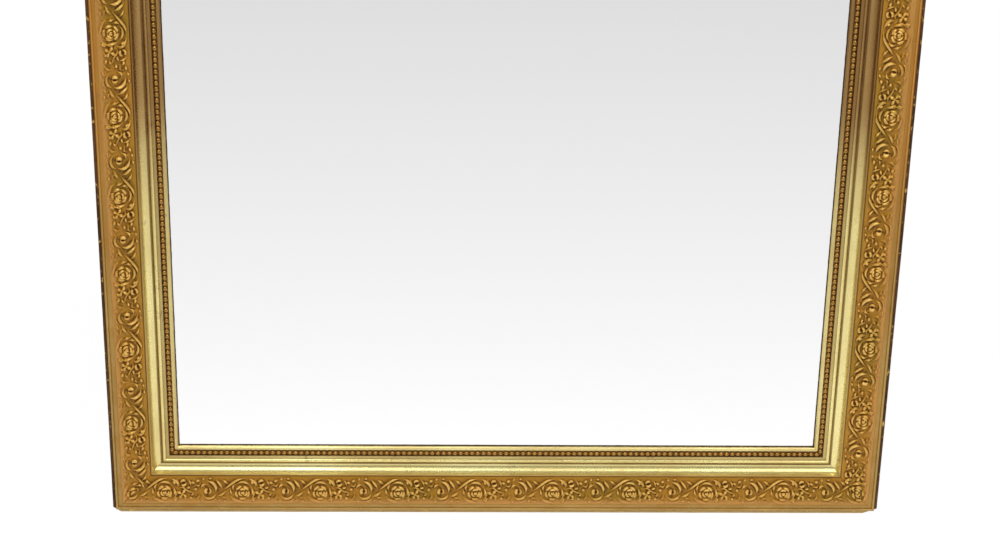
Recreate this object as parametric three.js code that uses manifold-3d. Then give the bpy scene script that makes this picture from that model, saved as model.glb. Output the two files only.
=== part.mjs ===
// A tall rectangular mirror in a gilt frame, hung on two rings. Millimetres, +Z up, front towards -Y.
// The origin is the centre of the back, on the plane where the back meets the wall.

import * as THREE from 'three';
import * as BufferGeometryUtils from 'three/addons/utils/BufferGeometryUtils.js';
import Module from 'manifold-3d';

// Overall size
const WIDTH = 1200;
const HEIGHT = 1800;

// Clearances
const SEAT_GAP = 0.3; // between pieces that touch
const GLASS_MARGIN = 2; // round the edge of the glass
const BOARD_MARGIN = 1; // round the backboards
const BOARD_SPACING = 0.8; // between two backboards
const HOLE_CLEARANCE = 0.3; // round a screw, on the radius
const KNUCKLE_CLEARANCE = 0.3; // round the ring's bar, on the radius

// Widths of the frame's bands, from the sight edge outwards
const SLIP_FACE = 6;
const BEAD_CHANNEL = 8;
const FLAT = 5;
const TORUS = 5.5;
const QUIRK = 3;
const COVE = 12.5;
const FILLET = 2.5;
const FRIEZE = 45.5;
const MARGIN = 6.3; // plain, beyond the ornament
const BAND = 4; // a half round
const STEP = 4.7; // the side board's front edge, with the gap before it

// Slip
const SLIP_EDGE = 3.7; // thickness at the sight edge
const SLIP_CREST = 5.2; // thickness at the crest
const SLIP_OUTER = 4.2; // thickness at the joint with the moulding
const SLIP_CREST_AT = 3; // from the sight edge
const TONGUE_WIDTH = 7.4;
const TONGUE_THICKNESS = 2;

// Moulding heights. Each is the rise or drop from the band before it, going outwards.
const CHANNEL_HEIGHT = 5; // above the back frame's front face
const FLAT_RISE = 4;
const QUIRK_DROP = 0.5;
const COVE_FOOT = 0.5;
const COVE_RISE = 12;
const FILLET_RISE = 0.5;
const FRIEZE_DROP = 2;
const FRIEZE_RISE = 11.8;
const MARGIN_DROP = 1.6;
const STEP_DROP = 2; // from the band's crest
const COVE_STEPS = 6;
const TORUS_STEPS = 8;
const BAND_STEPS = 6;

// Pearl string
const PEARL_RADIUS = 3.6;
const PEARL_STEPS = 6;

// Frieze ornament
const ORNAMENT_EDGE = 1.2; // bare ground at each edge of the frieze
const ORNAMENT_BASE = 1.2; // thickness under the relief
const ROSE_RADIUS = 13;
const ROSE_RIM_RADIUS = 9;
const ROSE_EYE_RADIUS = 4.2;
const ROSE_HEIGHT = 4.6;
const ROSE_CUP_HEIGHT = 3.2;
const ROSE_OFFSET = 3; // outwards from the frieze's middle line
const ROSE_SIDES = 8;
const SCROLL_RADIUS = 9;
const SCROLL_TOP_RADIUS = 5.4;
const SCROLL_HEIGHT = 3.4;
const SCROLL_SIDES = 8;
const LEAF_LENGTH = 24;
const LEAF_WIDTH = 9;
const LEAF_HEIGHT = 2.6;
const LEAF_OFFSET = 11; // of a leaf from the frieze's middle line
const LEAF_TURN = 35; // degrees from the frieze's run
const LEAF_SIDES = 5;
const RAIL_REPEAT = 121;
const STILE_REPEAT = 125.5;

// Back frame and side boards
const BACK_FRAME_DEPTH = 26;
const BACK_OPENING = 10; // from the sight edge to the back frame's inner face
const LEDGE = 16; // width of the ledge that carries the backboards

// Glass, glazing blocks and backboards
const GLASS_THICKNESS = 5;
const BLOCK_LENGTH = 90;
const BLOCK_WIDTH = 22; // along the glass
const BLOCK_TOP_WIDTH = 5.5; // at the backboards
const BLOCK_FROM_CORNER = 220; // from the sight corner to the block's middle
const BOARD_THICKNESS = 10;
const BOARD_COUNT = 5;

// Screws
const SCREW_SIDES = 12;
const SCREW_COVER = 4; // of wood in front of a board screw's point
const BOARD_SCREW_SINK = 0.2; // of the head below the board's face
const BOARD_SCREW_LENGTH = BACK_FRAME_DEPTH - BOARD_SCREW_SINK - SCREW_COVER;
const BOARD_SCREW = { length: BOARD_SCREW_LENGTH, point: 4, shank: 2, head: 4, headDepth: 2.4 };
const STRAP_SCREW = { length: 20, point: 4, shank: 2.1, head: 4, headDepth: 2, crown: 2.4 };
const PILOT_EXTRA = 1.2; // of a hole beyond the screw's point

// Hangers
const HANGER_FROM_TOP = 340;
const HANGER_FROM_SIDE = 53;
const STRAP_WIDTH = 20;
const STRAP_THICKNESS = 1.5; // of one ply
const STRAP_END = 5; // from the lower screw's head to the strap's end
const SCREW_HEAD_SPACE = 1.5; // from the hanging ring to the lower screw's head
const RING_WIRE = 2; // radius
const RING_HALF_WIDTH = 19; // from the middle to the wire's middle
const RING_CORNER = 4; // bend where the bar meets a side
const RING_STRAIGHT = 18; // from the bar's middle to where the bow starts
const RING_SIDES = 8;
const RING_CORNER_STEPS = 3;
const RING_BOW_STEPS = 14;
const KNUCKLE_STEPS = 12;

// Derived sizes
const FRIEZE_INNER = SLIP_FACE + BEAD_CHANNEL + FLAT + TORUS + QUIRK + COVE + FILLET;
const FRIEZE_OUTER = FRIEZE_INNER + FRIEZE;
const FRAME_WIDTH = FRIEZE_OUTER + MARGIN + BAND + STEP;
const SIGHT_WIDTH = WIDTH - 2 * FRAME_WIDTH;
const SIGHT_HEIGHT = HEIGHT - 2 * FRAME_WIDTH;
const MITRE_SHIFT = SEAT_GAP / Math.SQRT2;
const FRAME_FACE = BACK_FRAME_DEPTH + SEAT_GAP;
const BAND_OUTER = FRAME_WIDTH - STEP;
const SIDE_BOARD_INNER = BAND_OUTER + SEAT_GAP;
const FRIEZE_SLOPE = Math.atan2(FRIEZE_RISE, FRIEZE);
const CHANNEL_LEVEL = FRAME_FACE + CHANNEL_HEIGHT;
const FLAT_LEVEL = CHANNEL_LEVEL + FLAT_RISE;
const QUIRK_LEVEL = FLAT_LEVEL - QUIRK_DROP;
const COVE_TOP = QUIRK_LEVEL + COVE_FOOT + COVE_RISE;
const FILLET_LEVEL = COVE_TOP + FILLET_RISE;
const FRIEZE_LEVEL = FILLET_LEVEL - FRIEZE_DROP;
const BAND_LEVEL = FRIEZE_LEVEL + FRIEZE_RISE - MARGIN_DROP;
const SIDE_BOARD_DEPTH = BAND_LEVEL + BAND / 2 - STEP_DROP;

const wasm = await Module();
wasm.setup();

// Materials

function finish(color, roughness, metalness) {
    return new THREE.MeshStandardMaterial({ color, roughness, metalness });
}

const makeMaterial = {
    gilding: () => finish(0xa9803c, 0.45, 0.7),
    burnish: () => finish(0xd6b45a, 0.25, 0.85),
    ornament: () => finish(0x99703a, 0.5, 0.65),
    pearl: () => finish(0xa67f46, 0.4, 0.7),
    wornGilding: () => finish(0x5c4322, 0.6, 0.35),
    softwood: () => finish(0xa88358, 0.8, 0),
    board: () => finish(0x8d6b47, 0.85, 0),
    mirror: () => finish(0xe8ecec, 0.02, 1),
    steel: () => finish(0x8f9090, 0.35, 0.9),
};

// Solids for cutting and joining

function toSolid(geometry) {
    const bare = geometry.clone();
    bare.deleteAttribute('normal');
    bare.deleteAttribute('uv');
    const merged = BufferGeometryUtils.mergeVertices(bare, 1e-4);
    const vertProperties = new Float32Array(merged.attributes.position.array);
    const triVerts = new Uint32Array(merged.index.array);
    return new wasm.Manifold(new wasm.Mesh({ numProp: 3, vertProperties, triVerts }));
}

function toGeometry(solid) {
    const mesh = solid.getMesh();
    const geometry = new THREE.BufferGeometry();
    geometry.setAttribute('position', new THREE.BufferAttribute(new Float32Array(mesh.vertProperties), 3));
    geometry.setIndex(new THREE.BufferAttribute(new Uint32Array(mesh.triVerts), 1));
    geometry.computeVertexNormals();
    return geometry;
}

function cut(geometry, cutters) {
    const solid = cutters.reduce((rest, cutter) => rest.subtract(toSolid(cutter)), toSolid(geometry));
    return toGeometry(solid);
}

// Outlines. A frame section's points are [distance out from the sight edge, height above the wall].

function arc(centreOut, centreUp, radiusOut, radiusUp, fromDegrees, toDegrees, steps) {
    const points = [];
    for (let i = 0; i <= steps; i += 1) {
        const angle = THREE.MathUtils.degToRad(fromDegrees + ((toDegrees - fromDegrees) * i) / steps);
        points.push([centreOut + radiusOut * Math.cos(angle), centreUp + radiusUp * Math.sin(angle)]);
    }
    return points;
}

function toShape(points) {
    return new THREE.Shape(points.map(([x, y]) => new THREE.Vector2(x, y)));
}

function slipSection() {
    const tongueEnd = SLIP_FACE + TONGUE_WIDTH;
    return [
        [0, FRAME_FACE],
        [tongueEnd, FRAME_FACE],
        [tongueEnd, FRAME_FACE + TONGUE_THICKNESS],
        [SLIP_FACE, FRAME_FACE + TONGUE_THICKNESS],
        [SLIP_FACE, FRAME_FACE + SLIP_OUTER],
        [SLIP_CREST_AT, FRAME_FACE + SLIP_CREST],
        [0, FRAME_FACE + SLIP_EDGE],
    ];
}

function mouldingSection() {
    const inner = SLIP_FACE + SEAT_GAP;
    const tongueTop = FRAME_FACE + TONGUE_THICKNESS + SEAT_GAP;
    const tongueEnd = SLIP_FACE + TONGUE_WIDTH + SEAT_GAP;
    const channelEnd = SLIP_FACE + BEAD_CHANNEL;
    const torusMiddle = channelEnd + FLAT + TORUS / 2;
    const coveInner = channelEnd + FLAT + TORUS + QUIRK;
    const half = BAND / 2;
    return [
        [inner, tongueTop],
        [tongueEnd, tongueTop],
        [tongueEnd, FRAME_FACE],
        [BAND_OUTER, FRAME_FACE],
        ...arc(BAND_OUTER - half, BAND_LEVEL, half, half, 0, 180, BAND_STEPS),
        [FRIEZE_OUTER, FRIEZE_LEVEL + FRIEZE_RISE],
        [FRIEZE_INNER, FRIEZE_LEVEL],
        [FRIEZE_INNER, FILLET_LEVEL],
        [coveInner + COVE, FILLET_LEVEL],
        ...arc(coveInner, COVE_TOP, COVE, COVE_RISE, 0, -90, COVE_STEPS),
        [coveInner, QUIRK_LEVEL],
        [coveInner - QUIRK, QUIRK_LEVEL],
        ...arc(torusMiddle, FLAT_LEVEL, TORUS / 2, TORUS / 2, 0, 180, TORUS_STEPS),
        [channelEnd, FLAT_LEVEL],
        [channelEnd, CHANNEL_LEVEL],
        [inner, CHANNEL_LEVEL],
    ];
}

function pearlSection() {
    const middle = SLIP_FACE + BEAD_CHANNEL / 2;
    return arc(middle, CHANNEL_LEVEL + SEAT_GAP, PEARL_RADIUS, PEARL_RADIUS, 0, 180, PEARL_STEPS);
}

function sideBoardSection() {
    return [
        [SIDE_BOARD_INNER, 0],
        [FRAME_WIDTH, 0],
        [FRAME_WIDTH, SIDE_BOARD_DEPTH],
        [SIDE_BOARD_INNER, SIDE_BOARD_DEPTH],
    ];
}

function backFrameSection() {
    const ledgeOuter = BACK_OPENING + LEDGE;
    const ledgeFace = BOARD_THICKNESS + SEAT_GAP;
    return [
        [BACK_OPENING, ledgeFace],
        [ledgeOuter, ledgeFace],
        [ledgeOuter, 0],
        [BAND_OUTER, 0],
        [BAND_OUTER, BACK_FRAME_DEPTH],
        [BACK_OPENING, BACK_FRAME_DEPTH],
    ];
}

// The frieze's ground is a slope, so its ornament is laid out along and square to that slope.
function onFrieze(out, lift) {
    const along = out - FRIEZE_INNER;
    const ground = FRIEZE_LEVEL + along * Math.tan(FRIEZE_SLOPE);
    return [out - lift * Math.sin(FRIEZE_SLOPE), ground + lift * Math.cos(FRIEZE_SLOPE)];
}

function friezeBand(inner, outer, foot, top) {
    return [onFrieze(inner, foot), onFrieze(outer, foot), onFrieze(outer, top), onFrieze(inner, top)];
}

function extruded(shape, length) {
    const geometry = new THREE.ExtrudeGeometry(shape, { depth: length, bevelEnabled: false });
    return geometry.translate(0, 0, -length / 2);
}

// A length of frame. It runs along z, and each end is pushed out along its 45 degree mitre.
function mitredLength(section, sightLength) {
    const geometry = extruded(toShape(section), sightLength);
    const position = geometry.attributes.position;
    for (let i = 0; i < position.count; i += 1) {
        const end = Math.sign(position.getZ(i));
        position.setZ(i, position.getZ(i) + end * (position.getX(i) - MITRE_SHIFT));
    }
    return geometry;
}

// Frieze ornament

function boss(profile, sides, offset, place) {
    const points = profile.map(([radius, height]) => new THREE.Vector2(radius, height));
    const geometry = new THREE.LatheGeometry(points, sides);
    return placeOnFrieze(geometry, offset, place);
}

function placeOnFrieze(geometry, offset, place) {
    const middle = (FRIEZE_INNER + FRIEZE_OUTER) / 2 + offset;
    const [out, up] = onFrieze(middle, SEAT_GAP + ORNAMENT_BASE / 2);
    geometry.rotateZ(FRIEZE_SLOPE);
    geometry.translate(out, up, place);
    return geometry;
}

function rose(place) {
    const profile = [
        [0, 0],
        [ROSE_RADIUS, 0],
        [ROSE_RIM_RADIUS, ROSE_HEIGHT],
        [ROSE_EYE_RADIUS, ROSE_CUP_HEIGHT],
        [0, ROSE_HEIGHT],
    ];
    return boss(profile, ROSE_SIDES, ROSE_OFFSET, place);
}

function scroll(place) {
    const profile = [
        [0, 0],
        [SCROLL_RADIUS, 0],
        [SCROLL_TOP_RADIUS, SCROLL_HEIGHT],
        [0, SCROLL_HEIGHT],
    ];
    return boss(profile, SCROLL_SIDES, 0, place);
}

function leaf(place, side) {
    const geometry = new THREE.ConeGeometry(1, 1, LEAF_SIDES);
    geometry.translate(0, 0.5, 0);
    geometry.scale(LEAF_WIDTH / 2, LEAF_HEIGHT, LEAF_LENGTH / 2);
    geometry.rotateY(THREE.MathUtils.degToRad(side * LEAF_TURN));
    return placeOnFrieze(geometry, side * LEAF_OFFSET, place);
}

function ornamentLength(sightLength, repeat, phase) {
    const inner = FRIEZE_INNER + ORNAMENT_EDGE;
    const outer = FRIEZE_OUTER - ORNAMENT_EDGE;
    const base = mitredLength(friezeBand(inner, outer, SEAT_GAP, SEAT_GAP + ORNAMENT_BASE), sightLength);
    const room = mitredLength(friezeBand(inner, outer, SEAT_GAP, SEAT_GAP + 2 * ROSE_HEIGHT), sightLength);
    const reach = sightLength / 2 + FRAME_WIDTH;
    const first = Math.ceil((-reach - phase) / repeat);
    const last = Math.floor((reach - phase) / repeat);
    let strip = toSolid(base);
    for (let i = first; i <= last; i += 1) {
        const place = phase + i * repeat;
        const pieces = [
            rose(place),
            scroll(place + repeat / 2),
            leaf(place + repeat / 4, 1),
            leaf(place + repeat / 4, -1),
            leaf(place + (3 * repeat) / 4, 1),
            leaf(place + (3 * repeat) / 4, -1),
        ];
        strip = pieces.reduce((sum, piece) => sum.add(toSolid(piece)), strip);
    }
    return toGeometry(strip.intersect(toSolid(room)));
}

// Screws. The head's top is at y = 0 and the point is towards -y.

function countersunkScrew({ length, point, shank, head, headDepth }) {
    const points = [
        [0, -length],
        [shank, point - length],
        [shank, -headDepth],
        [head, 0],
        [0, 0],
    ];
    return new THREE.LatheGeometry(points.map(([x, y]) => new THREE.Vector2(x, y)), SCREW_SIDES);
}

function roundHeadScrew({ length, point, shank, head, headDepth, crown }) {
    const points = [
        [0, -length - headDepth],
        [shank, point - length - headDepth],
        [shank, -headDepth],
        [head, -headDepth],
        [head, -headDepth / 2],
        [crown, 0],
        [0, 0],
    ];
    return new THREE.LatheGeometry(points.map(([x, y]) => new THREE.Vector2(x, y)), SCREW_SIDES);
}

// Backboards, and where their screws go

const BOARD_SCREW_OUT = BACK_OPENING + LEDGE / 2;
const BOARD_SCREW_X = SIGHT_WIDTH / 2 + BOARD_SCREW_OUT;

function boardRoom() {
    return 2 * (BACK_OPENING + LEDGE - BOARD_MARGIN);
}

function boardHeight() {
    const spaces = (BOARD_COUNT - 1) * BOARD_SPACING;
    return (SIGHT_HEIGHT + boardRoom() - spaces) / BOARD_COUNT;
}

function boardPlaces() {
    const pitch = boardHeight() + BOARD_SPACING;
    return Array.from({ length: BOARD_COUNT }, (_, i) => (i - (BOARD_COUNT - 1) / 2) * pitch);
}

// A hole for a countersunk screw. Its mouth widens past the head, and starts above the face.
function countersunkHole({ length, shank, head, headDepth }) {
    const wide = head + HOLE_CLEARANCE;
    const narrow = shank + HOLE_CLEARANCE;
    const points = [
        [0, -length - PILOT_EXTRA],
        [narrow, -length - PILOT_EXTRA],
        [narrow, -headDepth - HOLE_CLEARANCE],
        [wide, -HOLE_CLEARANCE],
        [wide, 1],
        [0, 1],
    ];
    return new THREE.LatheGeometry(points.map(([x, y]) => new THREE.Vector2(x, y)), SCREW_SIDES);
}

function backboard() {
    const width = SIGHT_WIDTH + boardRoom();
    const board = new THREE.BoxGeometry(width, BOARD_THICKNESS, boardHeight());
    board.translate(0, -BOARD_THICKNESS / 2, 0);
    const holes = [-1, 1].map((side) => {
        return countersunkHole(BOARD_SCREW).translate(side * BOARD_SCREW_X, -BOARD_SCREW_SINK, 0);
    });
    return cut(board, holes);
}

// Hangers. The knuckle's middle is at z = 0, and the strap lies on the plane y = 0.

const KNUCKLE_BORE = RING_WIRE + KNUCKLE_CLEARANCE;
const KNUCKLE_RADIUS = KNUCKLE_BORE + STRAP_THICKNESS;
const KNUCKLE_STANDOFF = SEAT_GAP + KNUCKLE_RADIUS;
const STRAP_TOP = SEAT_GAP + 2 * STRAP_THICKNESS;
const RING_DROP = RING_STRAIGHT + RING_HALF_WIDTH;
const RING_REST_RISE = STRAP_TOP + SEAT_GAP + RING_WIRE - KNUCKLE_STANDOFF;
const RING_REST_TILT = Math.asin(Math.max(RING_REST_RISE, 0) / RING_DROP);
const HANGER_X = WIDTH / 2 - HANGER_FROM_SIDE;
const HANGER_Z = HEIGHT / 2 - HANGER_FROM_TOP;

// The upper screw is midway between the knuckle and the hanging ring's bow, and the lower one is past it.
const UPPER_SCREW_DROP = (KNUCKLE_RADIUS + RING_DROP - RING_WIRE) / 2;
const LOWER_SCREW_DROP = RING_DROP + RING_WIRE + SCREW_HEAD_SPACE + STRAP_SCREW.head;
const STRAP_SCREW_DROPS = [UPPER_SCREW_DROP, LOWER_SCREW_DROP];
const STRAP_LENGTH = LOWER_SCREW_DROP + STRAP_SCREW.head + STRAP_END;

// The strap is folded round the ring's bar, and its two plies lie together below the knuckle.
function strap() {
    const rise = STRAP_TOP - KNUCKLE_STANDOFF;
    const foldEnd = 180 - THREE.MathUtils.radToDeg(Math.asin(rise / KNUCKLE_RADIUS));
    const fold = arc(0, KNUCKLE_STANDOFF, KNUCKLE_RADIUS, KNUCKLE_RADIUS, -90, foldEnd, KNUCKLE_STEPS);
    const outline = [[-STRAP_LENGTH, SEAT_GAP], ...fold, [-STRAP_LENGTH, STRAP_TOP]];
    const shape = toShape(outline);
    const bore = arc(0, KNUCKLE_STANDOFF, KNUCKLE_BORE, KNUCKLE_BORE, 0, 360, KNUCKLE_STEPS).slice(1);
    shape.holes.push(new THREE.Path(bore.map(([x, y]) => new THREE.Vector2(x, y))));
    const geometry = extruded(shape, STRAP_WIDTH).rotateY(-Math.PI / 2);
    const holes = STRAP_SCREW_DROPS.map((drop) => {
        const radius = STRAP_SCREW.shank + HOLE_CLEARANCE;
        const hole = new THREE.CylinderGeometry(radius, radius, 4 * STRAP_TOP, SCREW_SIDES);
        return hole.translate(0, 0, -drop);
    });
    return cut(geometry, holes);
}

// The ring's middle line in its own plane: a straight bar at the top, two sides and a round bow.
function ringPath() {
    const cornerX = RING_HALF_WIDTH - RING_CORNER;
    return [
        ...arc(-cornerX, -RING_CORNER, RING_CORNER, RING_CORNER, 180, 90, RING_CORNER_STEPS),
        ...arc(cornerX, -RING_CORNER, RING_CORNER, RING_CORNER, 90, 0, RING_CORNER_STEPS),
        ...arc(0, -RING_STRAIGHT, RING_HALF_WIDTH, RING_HALF_WIDTH, 0, -180, RING_BOW_STEPS),
    ];
}

// A round wire swept along a closed path in the plane y = 0.
function closedWire(path, radius, sides) {
    const points = path.map(([x, z]) => new THREE.Vector3(x, 0, z));
    const count = points.length;
    const square = new THREE.Vector3(0, 1, 0);
    const position = [];
    const index = [];
    points.forEach((point, i) => {
        const before = points[(i + count - 1) % count].clone().sub(point).normalize();
        const after = points[(i + 1) % count].clone().sub(point).normalize();
        const tangent = after.clone().sub(before).normalize();
        const outward = new THREE.Vector3().crossVectors(square, tangent);
        const stretch = 1 / outward.dot(new THREE.Vector3().crossVectors(square, after));
        for (let k = 0; k < sides; k += 1) {
            const angle = (2 * Math.PI * k) / sides;
            const vertex = point.clone();
            vertex.addScaledVector(outward, radius * stretch * Math.cos(angle));
            vertex.addScaledVector(square, radius * Math.sin(angle));
            position.push(...vertex);
            const next = ((i + 1) % count) * sides;
            const here = i * sides;
            const turn = (k + 1) % sides;
            index.push(here + k, next + turn, next + k, here + k, here + turn, next + turn);
        }
    });
    const geometry = new THREE.BufferGeometry();
    geometry.setAttribute('position', new THREE.Float32BufferAttribute(position, 3));
    geometry.setIndex(index);
    geometry.computeVertexNormals();
    return geometry;
}

// Assembly

const mirror = new THREE.Group();
mirror.name = 'pier_mirror';

function addMesh(parent, name, geometry, material) {
    const mesh = new THREE.Mesh(geometry, material);
    mesh.name = name;
    parent.add(mesh);
    return mesh;
}

// The four sides. out is the way from the sight opening to the outer edge, and phase is where a rose
// lies on the side's own run, which goes clockwise round the front.
const SIDES = [
    { name: 'left', out: [-1, 0, 0], sight: SIGHT_HEIGHT, repeat: STILE_REPEAT, phase: 9, upward: 1 },
    { name: 'top', out: [0, 0, 1], sight: SIGHT_WIDTH, repeat: RAIL_REPEAT, phase: 0 },
    { name: 'right', out: [1, 0, 0], sight: SIGHT_HEIGHT, repeat: STILE_REPEAT, phase: -15, upward: -1 },
    { name: 'bottom', out: [0, 0, -1], sight: SIGHT_WIDTH, repeat: RAIL_REPEAT, phase: 35 },
];

// In a side's own axes x is out from the sight edge, y is up from the wall and z runs along the side.
function sideGroup({ name, out }) {
    const outward = new THREE.Vector3(...out);
    const forward = new THREE.Vector3(0, -1, 0);
    const along = new THREE.Vector3().crossVectors(outward, forward);
    const group = new THREE.Group();
    group.name = `${name}_side`;
    group.quaternion.setFromRotationMatrix(new THREE.Matrix4().makeBasis(outward, forward, along));
    group.position.set((out[0] * SIGHT_WIDTH) / 2, 0, (out[2] * SIGHT_HEIGHT) / 2);
    return group;
}

function stileHoles({ upward }) {
    const boardHole = countersunkHole(BOARD_SCREW).rotateX(Math.PI);
    const boardHoles = boardPlaces().map((height) => {
        return boardHole.clone().translate(BOARD_SCREW_OUT, BOARD_SCREW_SINK, upward * height);
    });
    const radius = STRAP_SCREW.shank + HOLE_CLEARANCE;
    const depth = STRAP_SCREW.length - STRAP_TOP + PILOT_EXTRA;
    const strapHoles = STRAP_SCREW_DROPS.map((drop) => {
        const hole = new THREE.CylinderGeometry(radius, radius, 2 * depth, SCREW_SIDES);
        return hole.translate(FRAME_WIDTH - HANGER_FROM_SIDE, 0, upward * (HANGER_Z - drop));
    });
    return [...boardHoles, ...strapHoles];
}

function backFrameLength(side) {
    const length = mitredLength(backFrameSection(), side.sight);
    return side.upward ? cut(length, stileHoles(side)) : length;
}

// A glazing block is a wedge in the corner between the glass and the back frame's inner face.
function glazingBlock() {
    const edge = BACK_OPENING - SEAT_GAP;
    const glassBack = BACK_FRAME_DEPTH - GLASS_THICKNESS - SEAT_GAP;
    const foot = BOARD_THICKNESS + 2 * SEAT_GAP;
    const section = [
        [edge, foot],
        [edge, glassBack],
        [edge - BLOCK_WIDTH, glassBack],
        [edge - BLOCK_TOP_WIDTH, foot],
    ];
    return extruded(toShape(section), BLOCK_LENGTH);
}

function addSide(side) {
    const group = sideGroup(side);
    const { name, sight } = side;
    addMesh(group, `slip_${name}`, mitredLength(slipSection(), sight), makeMaterial.burnish());
    addMesh(group, `moulding_${name}`, mitredLength(mouldingSection(), sight), makeMaterial.gilding());
    addMesh(group, `pearls_${name}`, mitredLength(pearlSection(), sight), makeMaterial.pearl());
    const ornament = ornamentLength(sight, side.repeat, side.phase);
    addMesh(group, `ornament_${name}`, ornament, makeMaterial.ornament());
    addMesh(group, `side_board_${name}`, mitredLength(sideBoardSection(), sight), makeMaterial.wornGilding());
    addMesh(group, `back_frame_${name}`, backFrameLength(side), makeMaterial.softwood());
    [-1, 1].forEach((way, i) => {
        const blockName = `glazing_block_${name}_${i + 1}`;
        const block = addMesh(group, blockName, glazingBlock(), makeMaterial.softwood());
        block.position.z = way * (sight / 2 - BLOCK_FROM_CORNER);
    });
    mirror.add(group);
}

function addGlass() {
    const reach = 2 * (BACK_OPENING - GLASS_MARGIN);
    const glass = new THREE.BoxGeometry(SIGHT_WIDTH + reach, GLASS_THICKNESS, SIGHT_HEIGHT + reach);
    const mesh = addMesh(mirror, 'mirror_plate', glass, makeMaterial.mirror());
    mesh.position.y = -(BACK_FRAME_DEPTH - GLASS_THICKNESS / 2);
}

function addBoards() {
    boardPlaces().forEach((height, i) => {
        const board = addMesh(mirror, `backboard_${i + 1}`, backboard(), makeMaterial.board());
        board.position.z = height;
        for (const side of [-1, 1]) {
            const name = `board_screw_${side < 0 ? 'left' : 'right'}_${i + 1}`;
            const screw = addMesh(mirror, name, countersunkScrew(BOARD_SCREW), makeMaterial.steel());
            screw.position.set(side * BOARD_SCREW_X, -BOARD_SCREW_SINK, height);
        }
    });
}

function addHanger(name, side) {
    const hanger = new THREE.Group();
    hanger.name = `hanger_${name}`;
    hanger.position.set(side * HANGER_X, 0, HANGER_Z);
    addMesh(hanger, `strap_${name}`, strap(), makeMaterial.steel());
    const wire = closedWire(ringPath(), RING_WIRE, RING_SIDES);
    const ring = addMesh(hanger, `ring_${name}`, wire, makeMaterial.steel());
    ring.position.y = KNUCKLE_STANDOFF;
    ring.rotation.x = RING_REST_TILT;
    STRAP_SCREW_DROPS.forEach((drop, i) => {
        const screwName = `strap_screw_${name}_${i + 1}`;
        const screw = addMesh(hanger, screwName, roundHeadScrew(STRAP_SCREW), makeMaterial.steel());
        screw.position.set(0, STRAP_TOP + SEAT_GAP + STRAP_SCREW.headDepth, -drop);
    });
    mirror.add(hanger);
}

SIDES.forEach(addSide);
addGlass();
addBoards();
addHanger('left', -1);
addHanger('right', 1);

export default mirror;
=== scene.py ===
"""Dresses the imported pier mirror.

The gilt lengths, the pressed ornament, the pearls, the worn side boards and the plain wooden back are
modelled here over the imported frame. Sizes are in millimetres and are turned into metres where a mesh is made.
"""

import logging
import math
from collections.abc import Callable, Iterator, Mapping, Sequence
from contextlib import contextmanager
from dataclasses import dataclass, field
from enum import Enum

import bpy
import numpy as np
from mathutils import Matrix, Vector


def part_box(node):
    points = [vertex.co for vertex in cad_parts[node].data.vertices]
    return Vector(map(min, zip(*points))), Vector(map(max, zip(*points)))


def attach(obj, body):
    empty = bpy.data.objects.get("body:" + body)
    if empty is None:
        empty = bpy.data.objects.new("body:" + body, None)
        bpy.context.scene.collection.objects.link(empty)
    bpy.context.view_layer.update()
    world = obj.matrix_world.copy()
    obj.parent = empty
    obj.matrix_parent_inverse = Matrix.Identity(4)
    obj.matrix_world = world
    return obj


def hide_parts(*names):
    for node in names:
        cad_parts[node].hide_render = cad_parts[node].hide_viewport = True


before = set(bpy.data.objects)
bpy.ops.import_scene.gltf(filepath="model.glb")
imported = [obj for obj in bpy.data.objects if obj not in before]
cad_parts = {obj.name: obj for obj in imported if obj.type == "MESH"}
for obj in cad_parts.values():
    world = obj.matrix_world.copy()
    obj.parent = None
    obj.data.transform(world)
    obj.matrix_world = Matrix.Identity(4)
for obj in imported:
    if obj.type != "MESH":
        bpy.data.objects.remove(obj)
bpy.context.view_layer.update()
MM = 0.001

log = logging.getLogger("pier_mirror")

Piece = bpy.types.Object
Point = tuple[float, float]
Colour = tuple[float, float, float, float]


# Sizes ------------------------------------------------------------------------------------------------------


@dataclass(frozen=True)
class FrameSizes:
    """The frame's section: widths run out from the sight edge, levels up from the wall."""

    sight_width: float = 994.0
    sight_height: float = 1594.0
    frame_width: float = 103.0
    seat_gap: float = 0.3
    frame_face: float = 26.3
    slip_face: float = 6.0
    tongue: float = 13.4
    channel_inner: float = 6.3
    channel_outer: float = 14.0
    channel_level: float = 31.3
    flat_level: float = 35.3
    torus_middle: float = 21.75
    torus_radius: float = 2.75
    quirk_inner: float = 24.5
    quirk_level: float = 34.8
    cove_inner: float = 27.5
    cove_width: float = 12.5
    cove_rise: float = 12.0
    cove_top: float = 47.3
    fillet_level: float = 47.8
    frieze_inner: float = 42.5
    frieze_outer: float = 88.0
    frieze_level: float = 45.8
    frieze_rise: float = 11.8
    band_middle: float = 96.3
    band_level: float = 56.0
    band_radius: float = 2.0
    board_inner: float = 98.6
    board_face: float = 56.0

    @property
    def frieze_slope(self) -> float:
        """The angle at which the frieze's ground rises outwards, in radians."""
        return math.atan2(self.frieze_rise, self.frieze_outer - self.frieze_inner)


SIZES = FrameSizes()


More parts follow.
